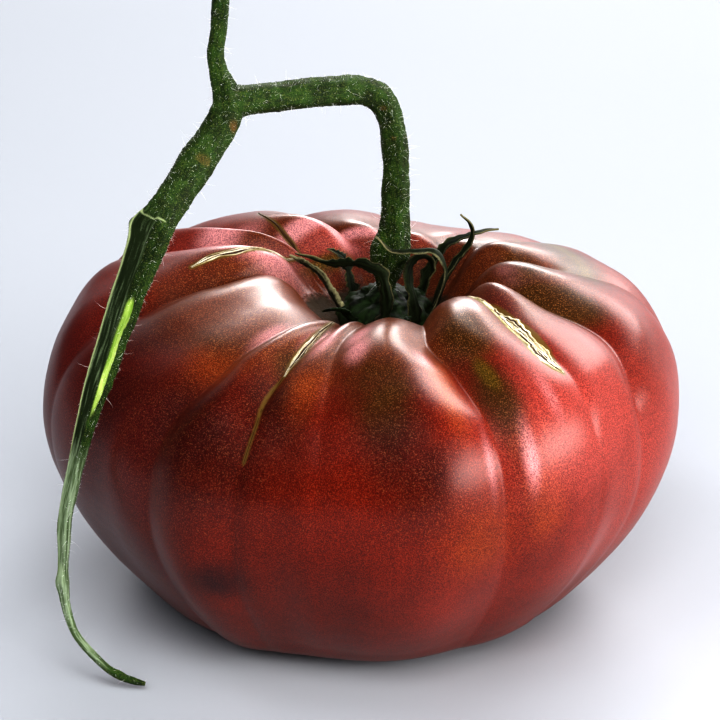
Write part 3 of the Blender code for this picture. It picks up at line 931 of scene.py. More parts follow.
@dataclass
class Scars:
    """The healed growth cracks on the shoulders, each a thin raised band laid on the skin."""

    fruit: Fruit
    scars: list[Scar] = field(default_factory=lambda: [
        Scar("scar_wide", ((317.5, 8.95), (321, 8.3), (321.8, 7.7), (320.5, 7.2), (318.3, 6.8), (317.3, 6.5),
                           (317.8, 6.25)),
             (0.9, 1.9, 2.8, 3.7, 4.2, 2.9, 0.5), 0.38, 0.95, 3, 4),
        Scar("scar_middle", ((244.8, 9.3), (247.1, 8.75), (248.5, 8.1), (249, 7.6), (249.3, 7.1)),
             (0.3, 0.4, 1.0, 1.1, 0.3), 0.20, 1.2, 5, 2),
        Scar("scar_middle_line", ((249.2, 7.15), (247.6, 6.6), (248.2, 6.0), (247.6, 5.4)),
             (0.15, 0.08, 0.04, 0.02), 0.012, 0.2, 6, 1),
        Scar("scar_left", ((144, 9.85), (151, 9.4), (159, 8.9), (166, 8.45), (169.5, 8.0), (172.6, 7.75)),
             (0.25, 0.35, 0.55, 1.1, 1.0, 0.3), 0.22, 0.9, 7, 3),
        Scar("scar_back", ((121.5, 7.2), (127.7, 7.95), (132.7, 8.55), (136, 9.1), (139, 9.6), (140.5, 10.1)),
             (0.2, 0.3, 0.4, 0.4, 0.35, 0.2), 0.10, 0.5, 8, 1)])
    halo: float = 0.35
    search: float = 8.0
    columns: int = 25
    spacing: float = 0.22
    samples: int = 60
    lap: float = 0.08
    sunk: float = 0.35

    def paths(self) -> list[tuple[Array, Array]]:
        """Each scar's middle line and its half widths, in millimetres."""
        found = []
        for scar in self.scars:
            route = smooth_curve(scar.route, np.linspace(0, len(scar.route) - 1, self.samples))
            middle = self.fruit.surface(route[:, 1], np.radians(route[:, 0]))
            widths = np.interp(np.linspace(0, 1, self.samples),
                               np.linspace(0, 1, len(scar.widths)), scar.widths)
            found.append((middle, widths / 2))
        return found

    def nearness(self, points: Array) -> Array:
        """Finds the skin beside the scars.

        Args:
            points: Points of the skin in millimetres.

        Returns:
            1 beside a scar, falling to 0 over the halo's width.
        """
        near = np.zeros(points.shape[:-1])
        flat = points.reshape(-1, 3)
        out = near.ravel()
        for middle, half in self.paths():
            coarse = np.linalg.norm(flat[:, None, :] - middle[None, ::10, :], axis=-1)
            close = np.nonzero(np.min(coarse, axis=1) < self.search)[0]
            away = np.linalg.norm(flat[close][:, None, :] - middle[None], axis=-1) - half[None]
            out[close] = np.maximum(out[close], smoothstep(self.halo + 0.5, 0.0, away.min(axis=1)))
        return out.reshape(near.shape)

    def build_one(self, scar: Scar, finish: bpy.types.Material) -> bpy.types.Object:
        """Lays one band on the skin, its edges tucked under it.

        Args:
            scar: The band to build.
            finish: The cork's material.

        Returns:
            The band's object.
        """
        positions = even_positions(
            [tuple(p) for p in self.fruit.surface(np.array([r[1] for r in scar.route]),
                                                  np.radians([r[0] for r in scar.route]))], self.spacing)
        route = smooth_curve(scar.route, positions)
        azimuth, u = np.radians(route[:, 0]), route[:, 1]
        point, normal, with_u, with_a = self.fruit.frame_at(u, azimuth)
        ahead = unit(np.gradient(point, axis=0))
        across = unit(np.cross(normal, ahead))
        share = positions / (len(scar.route) - 1)
        half = smooth_curve([(w,) for w in scar.widths], share * (len(scar.widths) - 1))[:, 0] / 2
        length = np.concatenate([[0], np.cumsum(np.linalg.norm(np.diff(point, axis=0), axis=1))])
        ragged = Ripple(0.9, 4.0, scar.seed)
        line = np.stack([length, np.zeros_like(length), np.zeros_like(length)], axis=-1)
        left = half * (1 + 0.18 * ragged.at(line * 0.6)) + self.lap
        right = half * (1 + 0.18 * ragged.at(line * 0.6 + 40.0)) + self.lap
        t = np.linspace(-1, 1, self.columns)[None, :]
        offset = np.where(t < 0, left[:, None], right[:, None]) * t
        jacobian = np.stack([with_u, with_a], axis=-1)
        step = np.linalg.pinv(jacobian) @ across[..., None]
        uu = u[:, None] + step[:, 0] * offset
        aa = azimuth[:, None] + step[:, 1] * offset
        points, normals, _, _ = self.fruit.frame_at(uu, aa)
        taper = smoothstep(0, 0.12, share) * smoothstep(1, 0.9, share)
        drift = 0.8 * ragged.at(line * 0.25)[:, None]
        ridge = np.cos((t * scar.ridges + scar.ridges - 1) * np.pi + drift) * 0.4
        crumb = Ripple(0.5, 1.6, scar.seed + 20).at(points) * 0.12
        rise = (1 - np.abs(t) ** 3) * (0.75 + ridge + crumb) * scar.height * (0.35 + 0.65 * taper[:, None])
        stretched = np.stack([np.repeat(length[:, None], self.columns, 1) * 0.28,
                              np.repeat(t, len(u), 0) * scar.ridges, np.zeros(points.shape[:2])], axis=-1)
        hollow = Ripple(0.8, 3.2, scar.seed + 30).at(stretched)
        pit = smoothstep(1.25 - scar.pits, 1.75 - scar.pits, hollow) * (1 - t**2) * taper[:, None]
        rise = rise - pit * scar.height * 0.9
        top = points + normals * (rise - 0.10 * np.abs(t) ** 8)[..., None]
        bottom = (points - normals * self.sunk)[:, ::-1]
        ring = np.concatenate([top, bottom[:, 1:-1]], axis=1)
        rows, columns = ring.shape[:2]

        def both(values: Array) -> Array:
            """Repeats the top's values on the hidden underside."""
            return np.concatenate([values, values[:, ::-1][:, 1:-1]], axis=1)

        along = both(np.stack([stretched[..., 0] * 0.9, stretched[..., 1] * 1.6, hollow * 0.1], axis=-1))
        attributes = {"along": along.reshape(-1, 3),
                      "rim": both(np.broadcast_to(np.abs(t) ** 2.5, (rows, self.columns))).ravel(),
                      "pit": both(np.maximum(pit, 0.95 * smoothstep(0.0, -0.3, ridge) * (1 - t**4))).ravel()}
        piece = make_piece(scar.name, ring.reshape(-1, 3), tube_faces(rows, columns), finish, attributes)
        return outward(piece)

    def build(self) -> list[bpy.types.Object]:
        """Builds every band."""
        wide = CorkFinish().material()
        line = CorkFinish("scar_line", cream=(0.070, 0.032, 0.009), straw=(0.040, 0.017, 0.005)).material()
        thin = {"scar_middle_line", "scar_back"}
        return [self.build_one(scar, line if scar.name in thin else wide) for scar in self.scars]


# ---------------------------------------------------------------- stalks
@dataclass(frozen=True)
class Station:
    """One cross-section of a stalk: its centre, width across, thickness, and how deep its channel is."""

    at: tuple[float, float, float]
    width: float
    thick: float
    channel: float = 0.0


@dataclass(frozen=True)
class Mark:
    """A scab, knob or dent on a stalk, at a place in millimetres."""

    at: tuple[float, float, float]
    reach: float
    height: float = 0.0
    scab: float = 0.0


@dataclass
class Stalk:
    """A hairy stalk along a smooth curve, which may be torn open into a channelled strip."""

    name: str
    stations: list[Station]
    marks: list[Mark]
    seed: int
    sides: int = 40
    spacing: float = 0.34
    face: tuple[float, float, float] = (-0.25, -1.0, 0.0)
    ribs: float = 0.10
    roughness: float = 0.07
    fibre_across: float = 2.2
    fibre_along: float = 0.14
    pith: tuple[float, float] = (0.0, 0.0)

    def sections(self) -> tuple[Array, Array, Array, Array, Array]:
        """Centres, side and face directions, sizes and station numbers of the rings."""
        rows = [(*s.at, s.width, s.thick, s.channel) for s in self.stations]
        positions = even_positions(rows, self.spacing)
        smooth = smooth_curve(rows, positions)
        centres = smooth[:, :3]
        forward = unit(np.gradient(centres, axis=0))
        face = np.array(self.face)[None, :]
        face = unit(face - forward * np.sum(face * forward, axis=1, keepdims=True))
        return centres, np.cross(forward, face), face, smooth[:, 3:], positions

    def outline(self, torn: Array) -> tuple[Array, Array, Attributes]:
        """The cross-section in shares of half its width and thickness.

        Args:
            torn: For each ring, 0 where the stalk is whole and 1 where it is a channelled strip.

        Returns:
            Sideways and facing shares for each ring and side, and the masks cut, pith and lip.
        """
        angle = 2 * np.pi * (np.arange(self.sides) + 0.5) / self.sides
        side, face = np.cos(angle)[None, :], np.sin(angle)[None, :]
        front = smoothstep(0.0, 0.25, face)
        hollow = smoothstep(0.04, 0.18, side) * smoothstep(0.93, 0.80, side)
        ridge = np.exp(-((side - 0.01) / 0.06) ** 2)
        band = smoothstep(-0.04, -0.12, side) * smoothstep(-0.68, -0.58, side)
        rim = smoothstep(0.80, 0.92, side)
        flat = 0.42 - 0.92 * hollow + 0.22 * ridge + 0.10 * band + 0.18 * rim
        flat = np.where(side < -0.55, np.maximum(flat, face * 0.95), flat)
        strip = np.where(face > 0, np.minimum(flat, face * 1.6 + 0.1), face)
        t = torn[:, None]
        shape = face * (1 - t) + strip * t
        side = np.broadcast_to(side, shape.shape)
        torn_face = t * front * smoothstep(-0.08, 0.02, side)
        tear = np.exp(-((t - 0.5) / 0.06) ** 2) * smoothstep(-0.3, 0.1, face) * smoothstep(-0.75, -0.3, side)
        masks = {"cut": torn_face, "pith": t * front * band,
                 "lip": t * front * np.maximum(ridge, rim * 0.9) + tear}
        return side, shape, masks

    def build(self, finish: bpy.types.Material) -> bpy.types.Object:
        """Meshes the stalk with its masks cut, pith, lip, dry, scab and hairy, and its pattern along.

        Args:
            finish: The stalk's material.

        Returns:
            The stalk's object.
        """
        centres, side, face, sizes, positions = self.sections()
        torn = smoothstep(0.15, 0.75, sizes[:, 2])
        width, thick, masks = self.outline(torn)
        half = sizes[:, :2] / 2
        points = (centres[:, None] + side[:, None] * (width * half[:, :1])[..., None]
                  + face[:, None] * (thick * half[:, 1:2])[..., None])
        outwards = unit(points - centres[:, None])
        angle = 2 * np.pi * (np.arange(self.sides) + 0.5) / self.sides
        length = np.concatenate([[0], np.cumsum(np.linalg.norm(np.diff(centres, axis=0), axis=1))])
        swirl = angle[None, :] + 0.012 * length[:, None]
        ends = smoothstep(0, 1.2, length) * smoothstep(length[-1], length[-1] - 1.2, length)
        calm = (1 - 0.8 * masks["cut"]) * ends[:, None] * np.minimum(half[:, :1] / 2.2, 1)
        relief = self.ribs * np.cos(5 * swirl) + self.roughness * Ripple(0.7, 2.4, self.seed, 40).at(points)
        relief = relief + 0.16 * Ripple(5.0, 14.0, self.seed + 1).at(points)
        relief = relief * calm
        scab = np.zeros(relief.shape)
        for mark in self.marks:
            near = np.exp(-(np.linalg.norm(points - np.array(mark.at), axis=-1) / mark.reach) ** 2)
            relief = relief + mark.height * near
            scab = np.maximum(scab, mark.scab * near)
        points = points + outwards * relief[..., None]
        if self.pith[1] > 0:
            shown = smoothstep(self.pith[0], self.pith[0] + 0.5, positions) * smoothstep(
                self.pith[1], self.pith[1] - 1.2, positions)
            masks["pith"] = masks["pith"] * shown[:, None]
            masks["dry"] = smoothstep(self.pith[1] - 0.4, self.pith[1] + 0.6, positions)[:, None] * smoothstep(
                len(self.stations) - 2.0, len(self.stations) - 5.0, positions)[:, None] * np.ones_like(relief)
        masks["scab"] = scab
        masks["hairy"] = 1 - smoothstep(0.1, 0.5, masks["cut"])
        along = np.stack([np.cos(angle)[None, :] * half[:, :1] * self.fibre_across,
                          np.sin(angle)[None, :] * half[:, :1] * self.fibre_across,
                          np.repeat(length[:, None] * self.fibre_along, self.sides, 1)], axis=-1)
        attributes = {key: values.ravel() for key, values in masks.items()}
        attributes["along"] = along.reshape(-1, 3)
        faces = tube_faces(len(centres), self.sides)
        return outward(make_piece(self.name, points.reshape(-1, 3), faces, finish, attributes))


@dataclass(frozen=True)
class HairCoat:
    """Plant hairs grown over a stalk's skin by Geometry Nodes."""

    name: str
    density: float
    length: float
    radius: float
    lean: float
    bend: float
    seed: int

    def tree(self) -> bpy.types.NodeTree:
        """Builds the tree that turns a stalk into its hairs."""
        tree = bpy.data.node_groups.new(self.name, "GeometryNodeTree")
        interface = tree.interface
        interface.new_socket(name="Stalk", in_out="INPUT", socket_type="NodeSocketGeometry")
        for label, kind in (("Density", "Float"), ("Length", "Float"), ("Radius", "Float"), ("Lean", "Float"),
                            ("Bend", "Float"), ("Seed", "Int"), ("Finish", "Material")):
            interface.new_socket(name=label, in_out="INPUT", socket_type="NodeSocket" + kind)
        interface.new_socket(name="Hairs", in_out="OUTPUT", socket_type="NodeSocketGeometry")
        g = Graph(tree)
        given = g.add("NodeGroupInput").outputs
        skin = g.add("GeometryNodeInputNamedAttribute", {"data_type": "FLOAT"}, {"Name": "hairy"})
        density = g.math("MULTIPLY", given["Density"], skin.outputs["Attribute"])
        roots = g.add("GeometryNodeDistributePointsOnFaces", {"distribute_method": "RANDOM"},
                      {"Mesh": given["Stalk"], "Density": density, "Seed": given["Seed"]})
        cone = g.add("GeometryNodeMeshCone", {"fill_type": "NGON"},
                     {"Vertices": 3, "Side Segments": 3, "Radius Top": 0.0, "Radius Bottom": given["Radius"],
                      "Depth": given["Length"]})
        split = g.add("ShaderNodeSeparateXYZ", None, {0: g.add("GeometryNodeInputPosition").outputs[0]})
        height = Value(g, split.outputs[2])
        share = height / given["Length"]
        curve = g.add("ShaderNodeCombineXYZ", None,
                      {0: share * share * g.math("MULTIPLY", given["Length"], given["Bend"])})
        bent = g.add("GeometryNodeSetPosition", None,
                     {"Geometry": cone.outputs["Mesh"], "Offset": curve.outputs[0]})
        high = g.add("ShaderNodeCombineXYZ", None, {0: given["Lean"], 1: given["Lean"], 2: math.pi}).outputs[0]
        low = g.vector("MULTIPLY", high, (-1.0, -1.0, -1.0))
        tilt = g.add("FunctionNodeRandomValue", {"data_type": "FLOAT_VECTOR"},
                     {0: low, 1: high, "Seed": given["Seed"]})
        turned = g.add("FunctionNodeRotateRotation", {"rotation_space": "LOCAL"},
                       {0: roots.outputs["Rotation"],
                        1: g.add("FunctionNodeEulerToRotation", None, {0: tilt.outputs[0]}).outputs[0]})
        size = g.add("FunctionNodeRandomValue", {"data_type": "FLOAT"},
                     {2: 0.35, 3: 1.1, "Seed": g.math("ADD", given["Seed"], 5.0)})
        hairs = g.add("GeometryNodeInstanceOnPoints", None, {
            "Points": roots.outputs["Points"], "Instance": bent.outputs[0],
            "Rotation": turned.outputs[0], "Scale": size.outputs[1]})
        real = g.add("GeometryNodeRealizeInstances", None, {0: hairs.outputs[0]})
        dressed = g.add("GeometryNodeSetMaterial", None,
                        {"Geometry": real.outputs[0], "Material": given["Finish"]})
        g.add("NodeGroupOutput", None, {0: dressed.outputs[0]})
        return tree

    def grow(self, stalk: bpy.types.Object, finish: bpy.types.Material) -> bpy.types.Object:
        """Grows the hairs.

        Args:
            stalk: The stalk, whose hairy attribute says where they stand.
            finish: The hairs' material.

        Returns:
            A plain mesh object of the hairs.
        """
        host = bpy.data.objects.new(self.name + "_host", stalk.data.copy())
        bpy.context.collection.objects.link(host)
        tree = self.tree()
        modifier = host.modifiers.new("hairs", "NODES")
        modifier.node_group = tree
        given = {"Density": self.density, "Length": self.length * MM, "Radius": self.radius * MM,
                 "Lean": self.lean, "Bend": self.bend, "Seed": self.seed, "Finish": finish}
        for item in tree.interface.items_tree:
            if item.in_out == "INPUT" and item.name in given:
                modifier[item.identifier] = given[item.name]
        evaluated = host.evaluated_get(bpy.context.evaluated_depsgraph_get())
        mesh = bpy.data.meshes.new_from_object(evaluated)
        mesh.name = self.name
        for layer in [a.name for a in mesh.attributes if not a.is_required and not a.is_internal]:
            mesh.attributes.remove(mesh.attributes[layer])
        mesh.shade_smooth()
        piece = bpy.data.objects.new(self.name, mesh)
        bpy.context.collection.objects.link(piece)
        old = host.data
        bpy.data.objects.remove(host)
        bpy.data.meshes.remove(old)
        return piece


def pedicel() -> Stalk:
    """The fruit's own stalk, from the calyx up and over to the truss."""
    rows = [
        (4.5, 4.8, 51.6, 3.1, 3.1), (4.5, 4.9, 55.0, 3.3, 3.3), (4.7, 5.0, 57.1, 5.0, 4.9),
        (5.1, 5.0, 60.6, 7.1, 6.8), (5.7, 5.0, 64.0, 5.8, 5.6), (6.1, 5.0, 70.1, 4.8, 4.8),
        (6.0, 4.7, 76.0, 4.6, 4.6), (5.7, 4.4, 81.5, 4.6, 4.6), (5.0, 3.8, 86.0, 4.7, 4.6),
        (3.2, 2.9, 89.5, 4.9, 4.7), (0.0, 1.3, 91.5, 5.0, 4.8), (-5.2, -1.5, 92.4, 4.8, 4.8),
        (-11.6, -4.6, 92.9, 4.8, 4.8), (-16.6, -6.9, 93.2, 5.0, 4.9), (-19.6, -8.3, 93.5, 5.6, 5.4),
        (-22.4, -9.7, 93.7, 6.0, 5.2)]
    return Stalk("stalk_pedicel", [Station(r[:3], *r[3:]) for r in rows], [
        Mark((3.6, 2.6, 64.0), 1.1, 0.5, 0.5), Mark((4.6, 1.5, 60.8), 1.6, 0.0, 0.5),
        Mark((3.9, 0.6, 88.6), 1.3, 0.0, 0.7), Mark((5.6, 2.3, 83.0), 0.9, 0.15, 0.8)], 31)


def truss_stalk() -> Stalk:
    """The piece of truss stalk, whole above its bend and torn to a strip below it."""
    rows = [
        (-22.6, -6.0, 113.0, 2.8, 2.8), (-23.0, -6.5, 106.4, 2.8, 2.8), (-23.7, -7.3, 101.6, 2.8, 2.8),
        (-23.2, -8.0, 98.4, 3.1, 3.0), (-22.2, -8.9, 95.6, 4.2, 3.9), (-22.0, -10.2, 92.6, 5.2, 4.9),
        (-23.4, -12.6, 89.8, 5.6, 5.2), (-25.6, -15.6, 87.2, 5.9, 5.4), (-28.6, -20.0, 83.7, 5.9, 5.4),
        (-31.5, -25.0, 80.9, 5.9, 5.4, 0.2), (-33.2, -27.6, 78.9, 6.3, 4.8, 0.6),
        (-34.2, -28.4, 76.8, 6.2, 4.0, 0.85),
        (-35.3, -28.8, 74.1, 6.0, 3.4, 0.9), (-38.2, -29.2, 66.2, 5.3, 3.0, 0.9),
        (-41.0, -29.6, 57.8, 4.9, 2.8, 0.9), (-43.2, -30.2, 51.3, 4.3, 2.6, 0.9),
        (-45.3, -31.0, 44.3, 3.3, 2.4, 0.9), (-47.4, -32.0, 35.9, 2.6, 2.0, 0.8),
        (-48.8, -33.0, 29.5, 2.4, 1.7, 0.6), (-49.3, -33.8, 23.0, 2.0, 1.5, 0.5),
        (-49.5, -34.6, 16.9, 1.8, 1.4, 0.4), (-49.0, -35.5, 12.7, 1.6, 1.3, 0.3),
        (-47.4, -36.8, 8.7, 1.3, 1.2, 0.1), (-43.9, -38.2, 4.9, 1.4, 1.2), (-41.2, -39.0, 2.8, 1.4, 1.2),
        (-38.1, -39.5, 1.6, 1.4, 1.1), (-36.0, -39.6, 1.1, 0.7, 0.7)]
    return Stalk("stalk_truss", [Station(r[:3], *r[3:]) for r in rows], [
        Mark((-26.0, -18.0, 86.6), 2.2, -0.1, 1.0), Mark((-21.2, -12.8, 90.8), 1.9, 0.1, 0.9),
        Mark((-36.3, -27.4, 79.6), 1.9, 0.9, 0.1), Mark((-50.3, -35.0, 17.6), 1.4, 0.5, 0.3),
        Mark((-40.2, -39.2, 3.4), 0.8, 0.3, 0.2)], 32, pith=(12.55, 16.2))


# ---------------------------------------------------------------- calyx
@dataclass(frozen=True)
class Sepal:
    """A dried strap along a route from its root to its tip."""

    node: str
    route: tuple[tuple[float, float, float], ...]
    widths: tuple[float, float, float]
    cup: float = 0.35
    twist: float = 0.0
    seed: int = 0
    thickness: float = 0.5
    steps: int = 64
    across: int = 9

    def build(self, hub: tuple[float, float], finish: bpy.types.Material) -> bpy.types.Object:
        """Meshes the strap: lens-shaped, cupped and wrinkled lengthwise.

        Args:
            hub: The calyx's centre, which its root faces away from.
            finish: The dried leaf's material.

        Returns:
            The strap's object.
        """
        share = np.linspace(0, 1, self.steps)
        route = smooth_curve(self.route, share * (len(self.route) - 1))
        waver = Ripple(2.0, 7.0, self.seed)
        route = route + 0.12 * np.stack([waver.at(route + k * 50) for k in range(3)], axis=-1) * share[:, None]
        forward = unit(np.gradient(route, axis=0))
        radial = unit(np.array([route[0][0] - hub[0], route[0][1] - hub[1], 0.0]))
        across = unit(np.cross(forward[0], radial if abs(forward[0][2]) > 0.6 else np.array([0.0, 0.0, 1.0])))
        sides, faces = [], []
        for step in forward:
            across = unit(across - step * np.dot(across, step))
            sides.append(across)
            faces.append(np.cross(step, across))
        side, face = np.array(sides), np.array(faces)
        turn = (self.twist * share)[:, None]
        side, face = side * np.cos(turn) + face * np.sin(turn), face * np.cos(turn) - side * np.sin(turn)
        half = np.interp(share, (0, 0.5, 1), self.widths) / 2 * smoothstep(1.04, 0.86, share) + 0.06
        line = np.stack([share * 14, share * 0, share * 0], axis=-1)
        left = half * (1 + 0.34 * Ripple(0.8, 3.0, self.seed + 1).at(line))
        right = half * (1 + 0.34 * Ripple(0.8, 3.0, self.seed + 2).at(line))
        t = np.linspace(-1, 1, self.across)[None, :]
        offset = np.where(t < 0, left[:, None], right[:, None]) * t
        wrinkle = 0.10 * np.sin(t * 7 + self.seed + 2.0 * share[:, None]) * half[:, None]
        lift = self.cup * half[:, None] * t**2 * (0.6 + 0.4 * np.sin(share * 5 + self.seed))[:, None] + wrinkle
        thick = self.thickness / 2 * (1 - 0.35 * share[:, None]) * np.sqrt(np.maximum(1 - 0.92 * t**2, 0))
        middle = route[:, None] + side[:, None] * offset[..., None] + face[:, None] * lift[..., None]
        top = middle + face[:, None] * thick[..., None]
        bottom = (middle - face[:, None] * thick[..., None])[:, ::-1]
        ring = np.concatenate([top, bottom[:, 1:-1]], axis=1)
        rows, columns = ring.shape[:2]
        t_ring = np.concatenate([t[0], t[0, ::-1][1:-1]])[None, :]
        edge = np.abs(t_ring) ** 2 * 0.8 + 0.5 * smoothstep(0.7, 1, share)[:, None]
        along = np.stack([np.repeat(t_ring, rows, 0) * 2.4 + self.seed,
                          np.repeat(share[:, None], columns, 1) * 3, np.zeros((rows, columns))], axis=-1)
        piece = make_piece("calyx_" + self.node, ring.reshape(-1, 3), tube_faces(rows, columns), finish,
                           {"edge": edge.ravel(), "along": along.reshape(-1, 3)})
        return outward(piece)


@dataclass
class Calyx:
    """The button under the pedicel and its ten dried sepals."""

    centre: tuple[float, float] = (4.5, 4.7)
    profile: tuple[tuple[float, float], ...] = (
        (7.3, 47.6), (8.0, 49.0), (7.5, 50.8), (5.6, 52.3), (3.4, 53.2), (1.9, 54.2))
    sepals: tuple[Sepal, ...] = (
        Sepal("sepal_1", ((-3.4, 3.6, 50.6), (-5.0, 5.0, 53.0), (-7.0, 6.6, 55.9), (-9.8, 7.6, 57.6),
                          (-12.2, 8.2, 58.6)), (2.6, 1.9, 0.8), 0.4, 0.6, 1),
        Sepal("sepal_2", ((3.4, -4.0, 50.4), (4.6, -4.0, 54.4), (3.9, -3.4, 59.6), (0.9, -1.8, 61.3),
                          (-2.2, 0.6, 60.6), (-5.8, 3.2, 59.6), (-11.0, 5.6, 60.2)),
              (2.4, 1.9, 0.8), 0.5, -0.5, 2),
        Sepal("sepal_3", ((-1.4, 10.3, 51.0), (-2.2, 11.2, 54.6), (-3.0, 11.6, 57.0), (-5.7, 11.9, 58.2)),
              (2.4, 1.7, 0.9), 0.5, 0.3, 3),
        Sepal("sepal_4", ((12.3, 1.0, 50.6), (13.6, -0.4, 54.6), (14.6, -1.4, 60.0), (12.8, -2.2, 63.8),
                          (9.0, -2.4, 64.2), (5.6, -1.6, 64.0), (2.6, -0.2, 65.8)),
              (2.6, 1.9, 0.8), 0.5, 0.9, 4),
        Sepal("sepal_5", ((9.6, -1.8, 50.6), (9.2, -1.2, 54.2), (8.4, 0.6, 57.2), (9.2, 1.6, 60.2),
                          (11.2, 1.6, 61.2), (12.6, 1.6, 59.0), (11.6, 1.8, 56.8)),
              (2.4, 1.7, 0.8), 0.5, 0.5, 5),
        Sepal("sepal_6", ((12.8, 5.0, 50.6), (14.6, 6.2, 54.6), (16.6, 7.4, 57.6), (18.5, 8.0, 60.0),
                          (19.5, 8.0, 63.6), (17.4, 8.0, 66.4)), (2.6, 1.5, 0.6), 0.4, 0.8, 6),
        Sepal("sepal_7", ((10.8, 10.0, 51.0), (12.6, 11.4, 55.0), (15.2, 12.4, 58.6), (19.4, 13.2, 60.6),
                          (24.2, 13.8, 61.4)), (2.6, 2.0, 1.0), 0.4, -0.6, 7),
        Sepal("sepal_8", ((-1.6, -0.8, 50.4), (-2.8, -1.6, 52.4), (-4.6, -2.2, 53.2), (-6.6, -2.8, 52.8)),
              (3.0, 2.6, 1.4), 0.3, 0.2, 8),
        Sepal("sepal_9", ((6.6, -3.8, 50.4), (7.0, -5.4, 52.6), (7.4, -7.2, 53.4), (7.8, -8.8, 53.6)),
              (3.0, 2.6, 1.4), 0.3, 0.2, 9),
        Sepal("sepal_10", ((5.0, 13.2, 51.0), (5.4, 14.6, 54.0), (6.0, 16.4, 57.0), (6.6, 19.4, 59.6)),
              (2.6, 1.8, 0.8), 0.4, 0.2, 10))
    rows: int = 40
    columns: int = 96

    def build_button(self, finish: bpy.types.Material) -> bpy.types.Object:
        """Meshes the lumpy cushion that the sepals spring from.

        Args:
            finish: The dried leaf's material.

        Returns:
            The button's object.
        """
        profile = smooth_curve(self.profile, np.linspace(0, len(self.profile) - 1, self.rows))
        angle = np.linspace(0, 2 * np.pi, self.columns, endpoint=False)[None, :]
        radius, height = profile[:, :1], profile[:, 1:2]
        points = np.stack(np.broadcast_arrays(
            self.centre[0] + radius * np.cos(angle), self.centre[1] + radius * np.sin(angle), height), axis=-1)
        lump = 0.55 * Ripple(2.5, 6.0, 51).at(points) + 0.15 * Ripple(0.8, 2.0, 52).at(points)
        out = np.stack(np.broadcast_arrays(np.cos(angle), np.sin(angle), np.full_like(radius, 0.4)), axis=-1)
        points = points + out * (lump * smoothstep(1.5, 4.0, radius))[..., None]
        along = np.stack(np.broadcast_arrays(np.cos(angle) * 4, np.sin(angle) * 4, radius * 0.3), axis=-1)
        attributes = {"edge": np.zeros(points.shape[:2]).ravel(), "along": along.reshape(-1, 3)}
        return outward(make_piece("calyx_button", points.reshape(-1, 3), tube_faces(self.rows, self.columns),
                                  finish, attributes))

    def build(self) -> None:
        """Builds the button and the sepals, and settles each."""
        green = DryLeafFinish("calyx_green", green=(0.018, 0.036, 0.010), tan_share=0.15).material()
        dark = DryLeafFinish("calyx_dark").material()
        pale = DryLeafFinish("calyx_pale", green=(0.045, 0.052, 0.024), tan=(0.230, 0.215, 0.120),
                             tan_share=0.7).material()
        curl = DryLeafFinish("calyx_curl", tan=(0.20, 0.185, 0.10), tan_share=0.55).material()
        settle(self.build_button(green), "dried_calyx", "calyx_disc")
        chosen = {"sepal_1": pale, "sepal_4": curl, "sepal_8": green, "sepal_9": green}
        for sepal in self.sepals:
            piece = sepal.build(self.centre, chosen.get(sepal.node, dark))
            settle(piece, "dried_calyx", sepal.node)


# ---------------------------------------------------------------- studio
@dataclass(frozen=True)
class SoftBox:
    """An oval area light aimed at the fruit from an azimuth and elevation in degrees."""

    name: str
    azimuth: float
    elevation: float
    size: tuple[float, float]
    radiance: float
    tint: Colour = (1.0, 1.0, 1.0)
    distance: float = 1.2
    mirrored: bool = True

    def place(self, aim: Vector) -> None:
        """Adds the light to the scene.

        Args:
            aim: The point that it faces, in metres.
        """
        a, e = math.radians(self.azimuth), math.radians(self.elevation)
        out = Vector((math.cos(a) * math.cos(e), math.sin(a) * math.cos(e), math.sin(e)))
        light = bpy.data.lights.new(self.name, "AREA")
        light.shape = "ELLIPSE"
        light.size, light.size_y = self.size
        light.energy = self.radiance * math.pi * math.pi * self.size[0] * self.size[1] / 4
        light.color = self.tint
        lamp = bpy.data.objects.new(self.name, light)
        lamp.location = aim + out * self.distance
        lamp.rotation_euler = out.to_track_quat("Z", "Y").to_euler()
        lamp.visible_glossy = self.mirrored
        bpy.context.collection.objects.link(lamp)


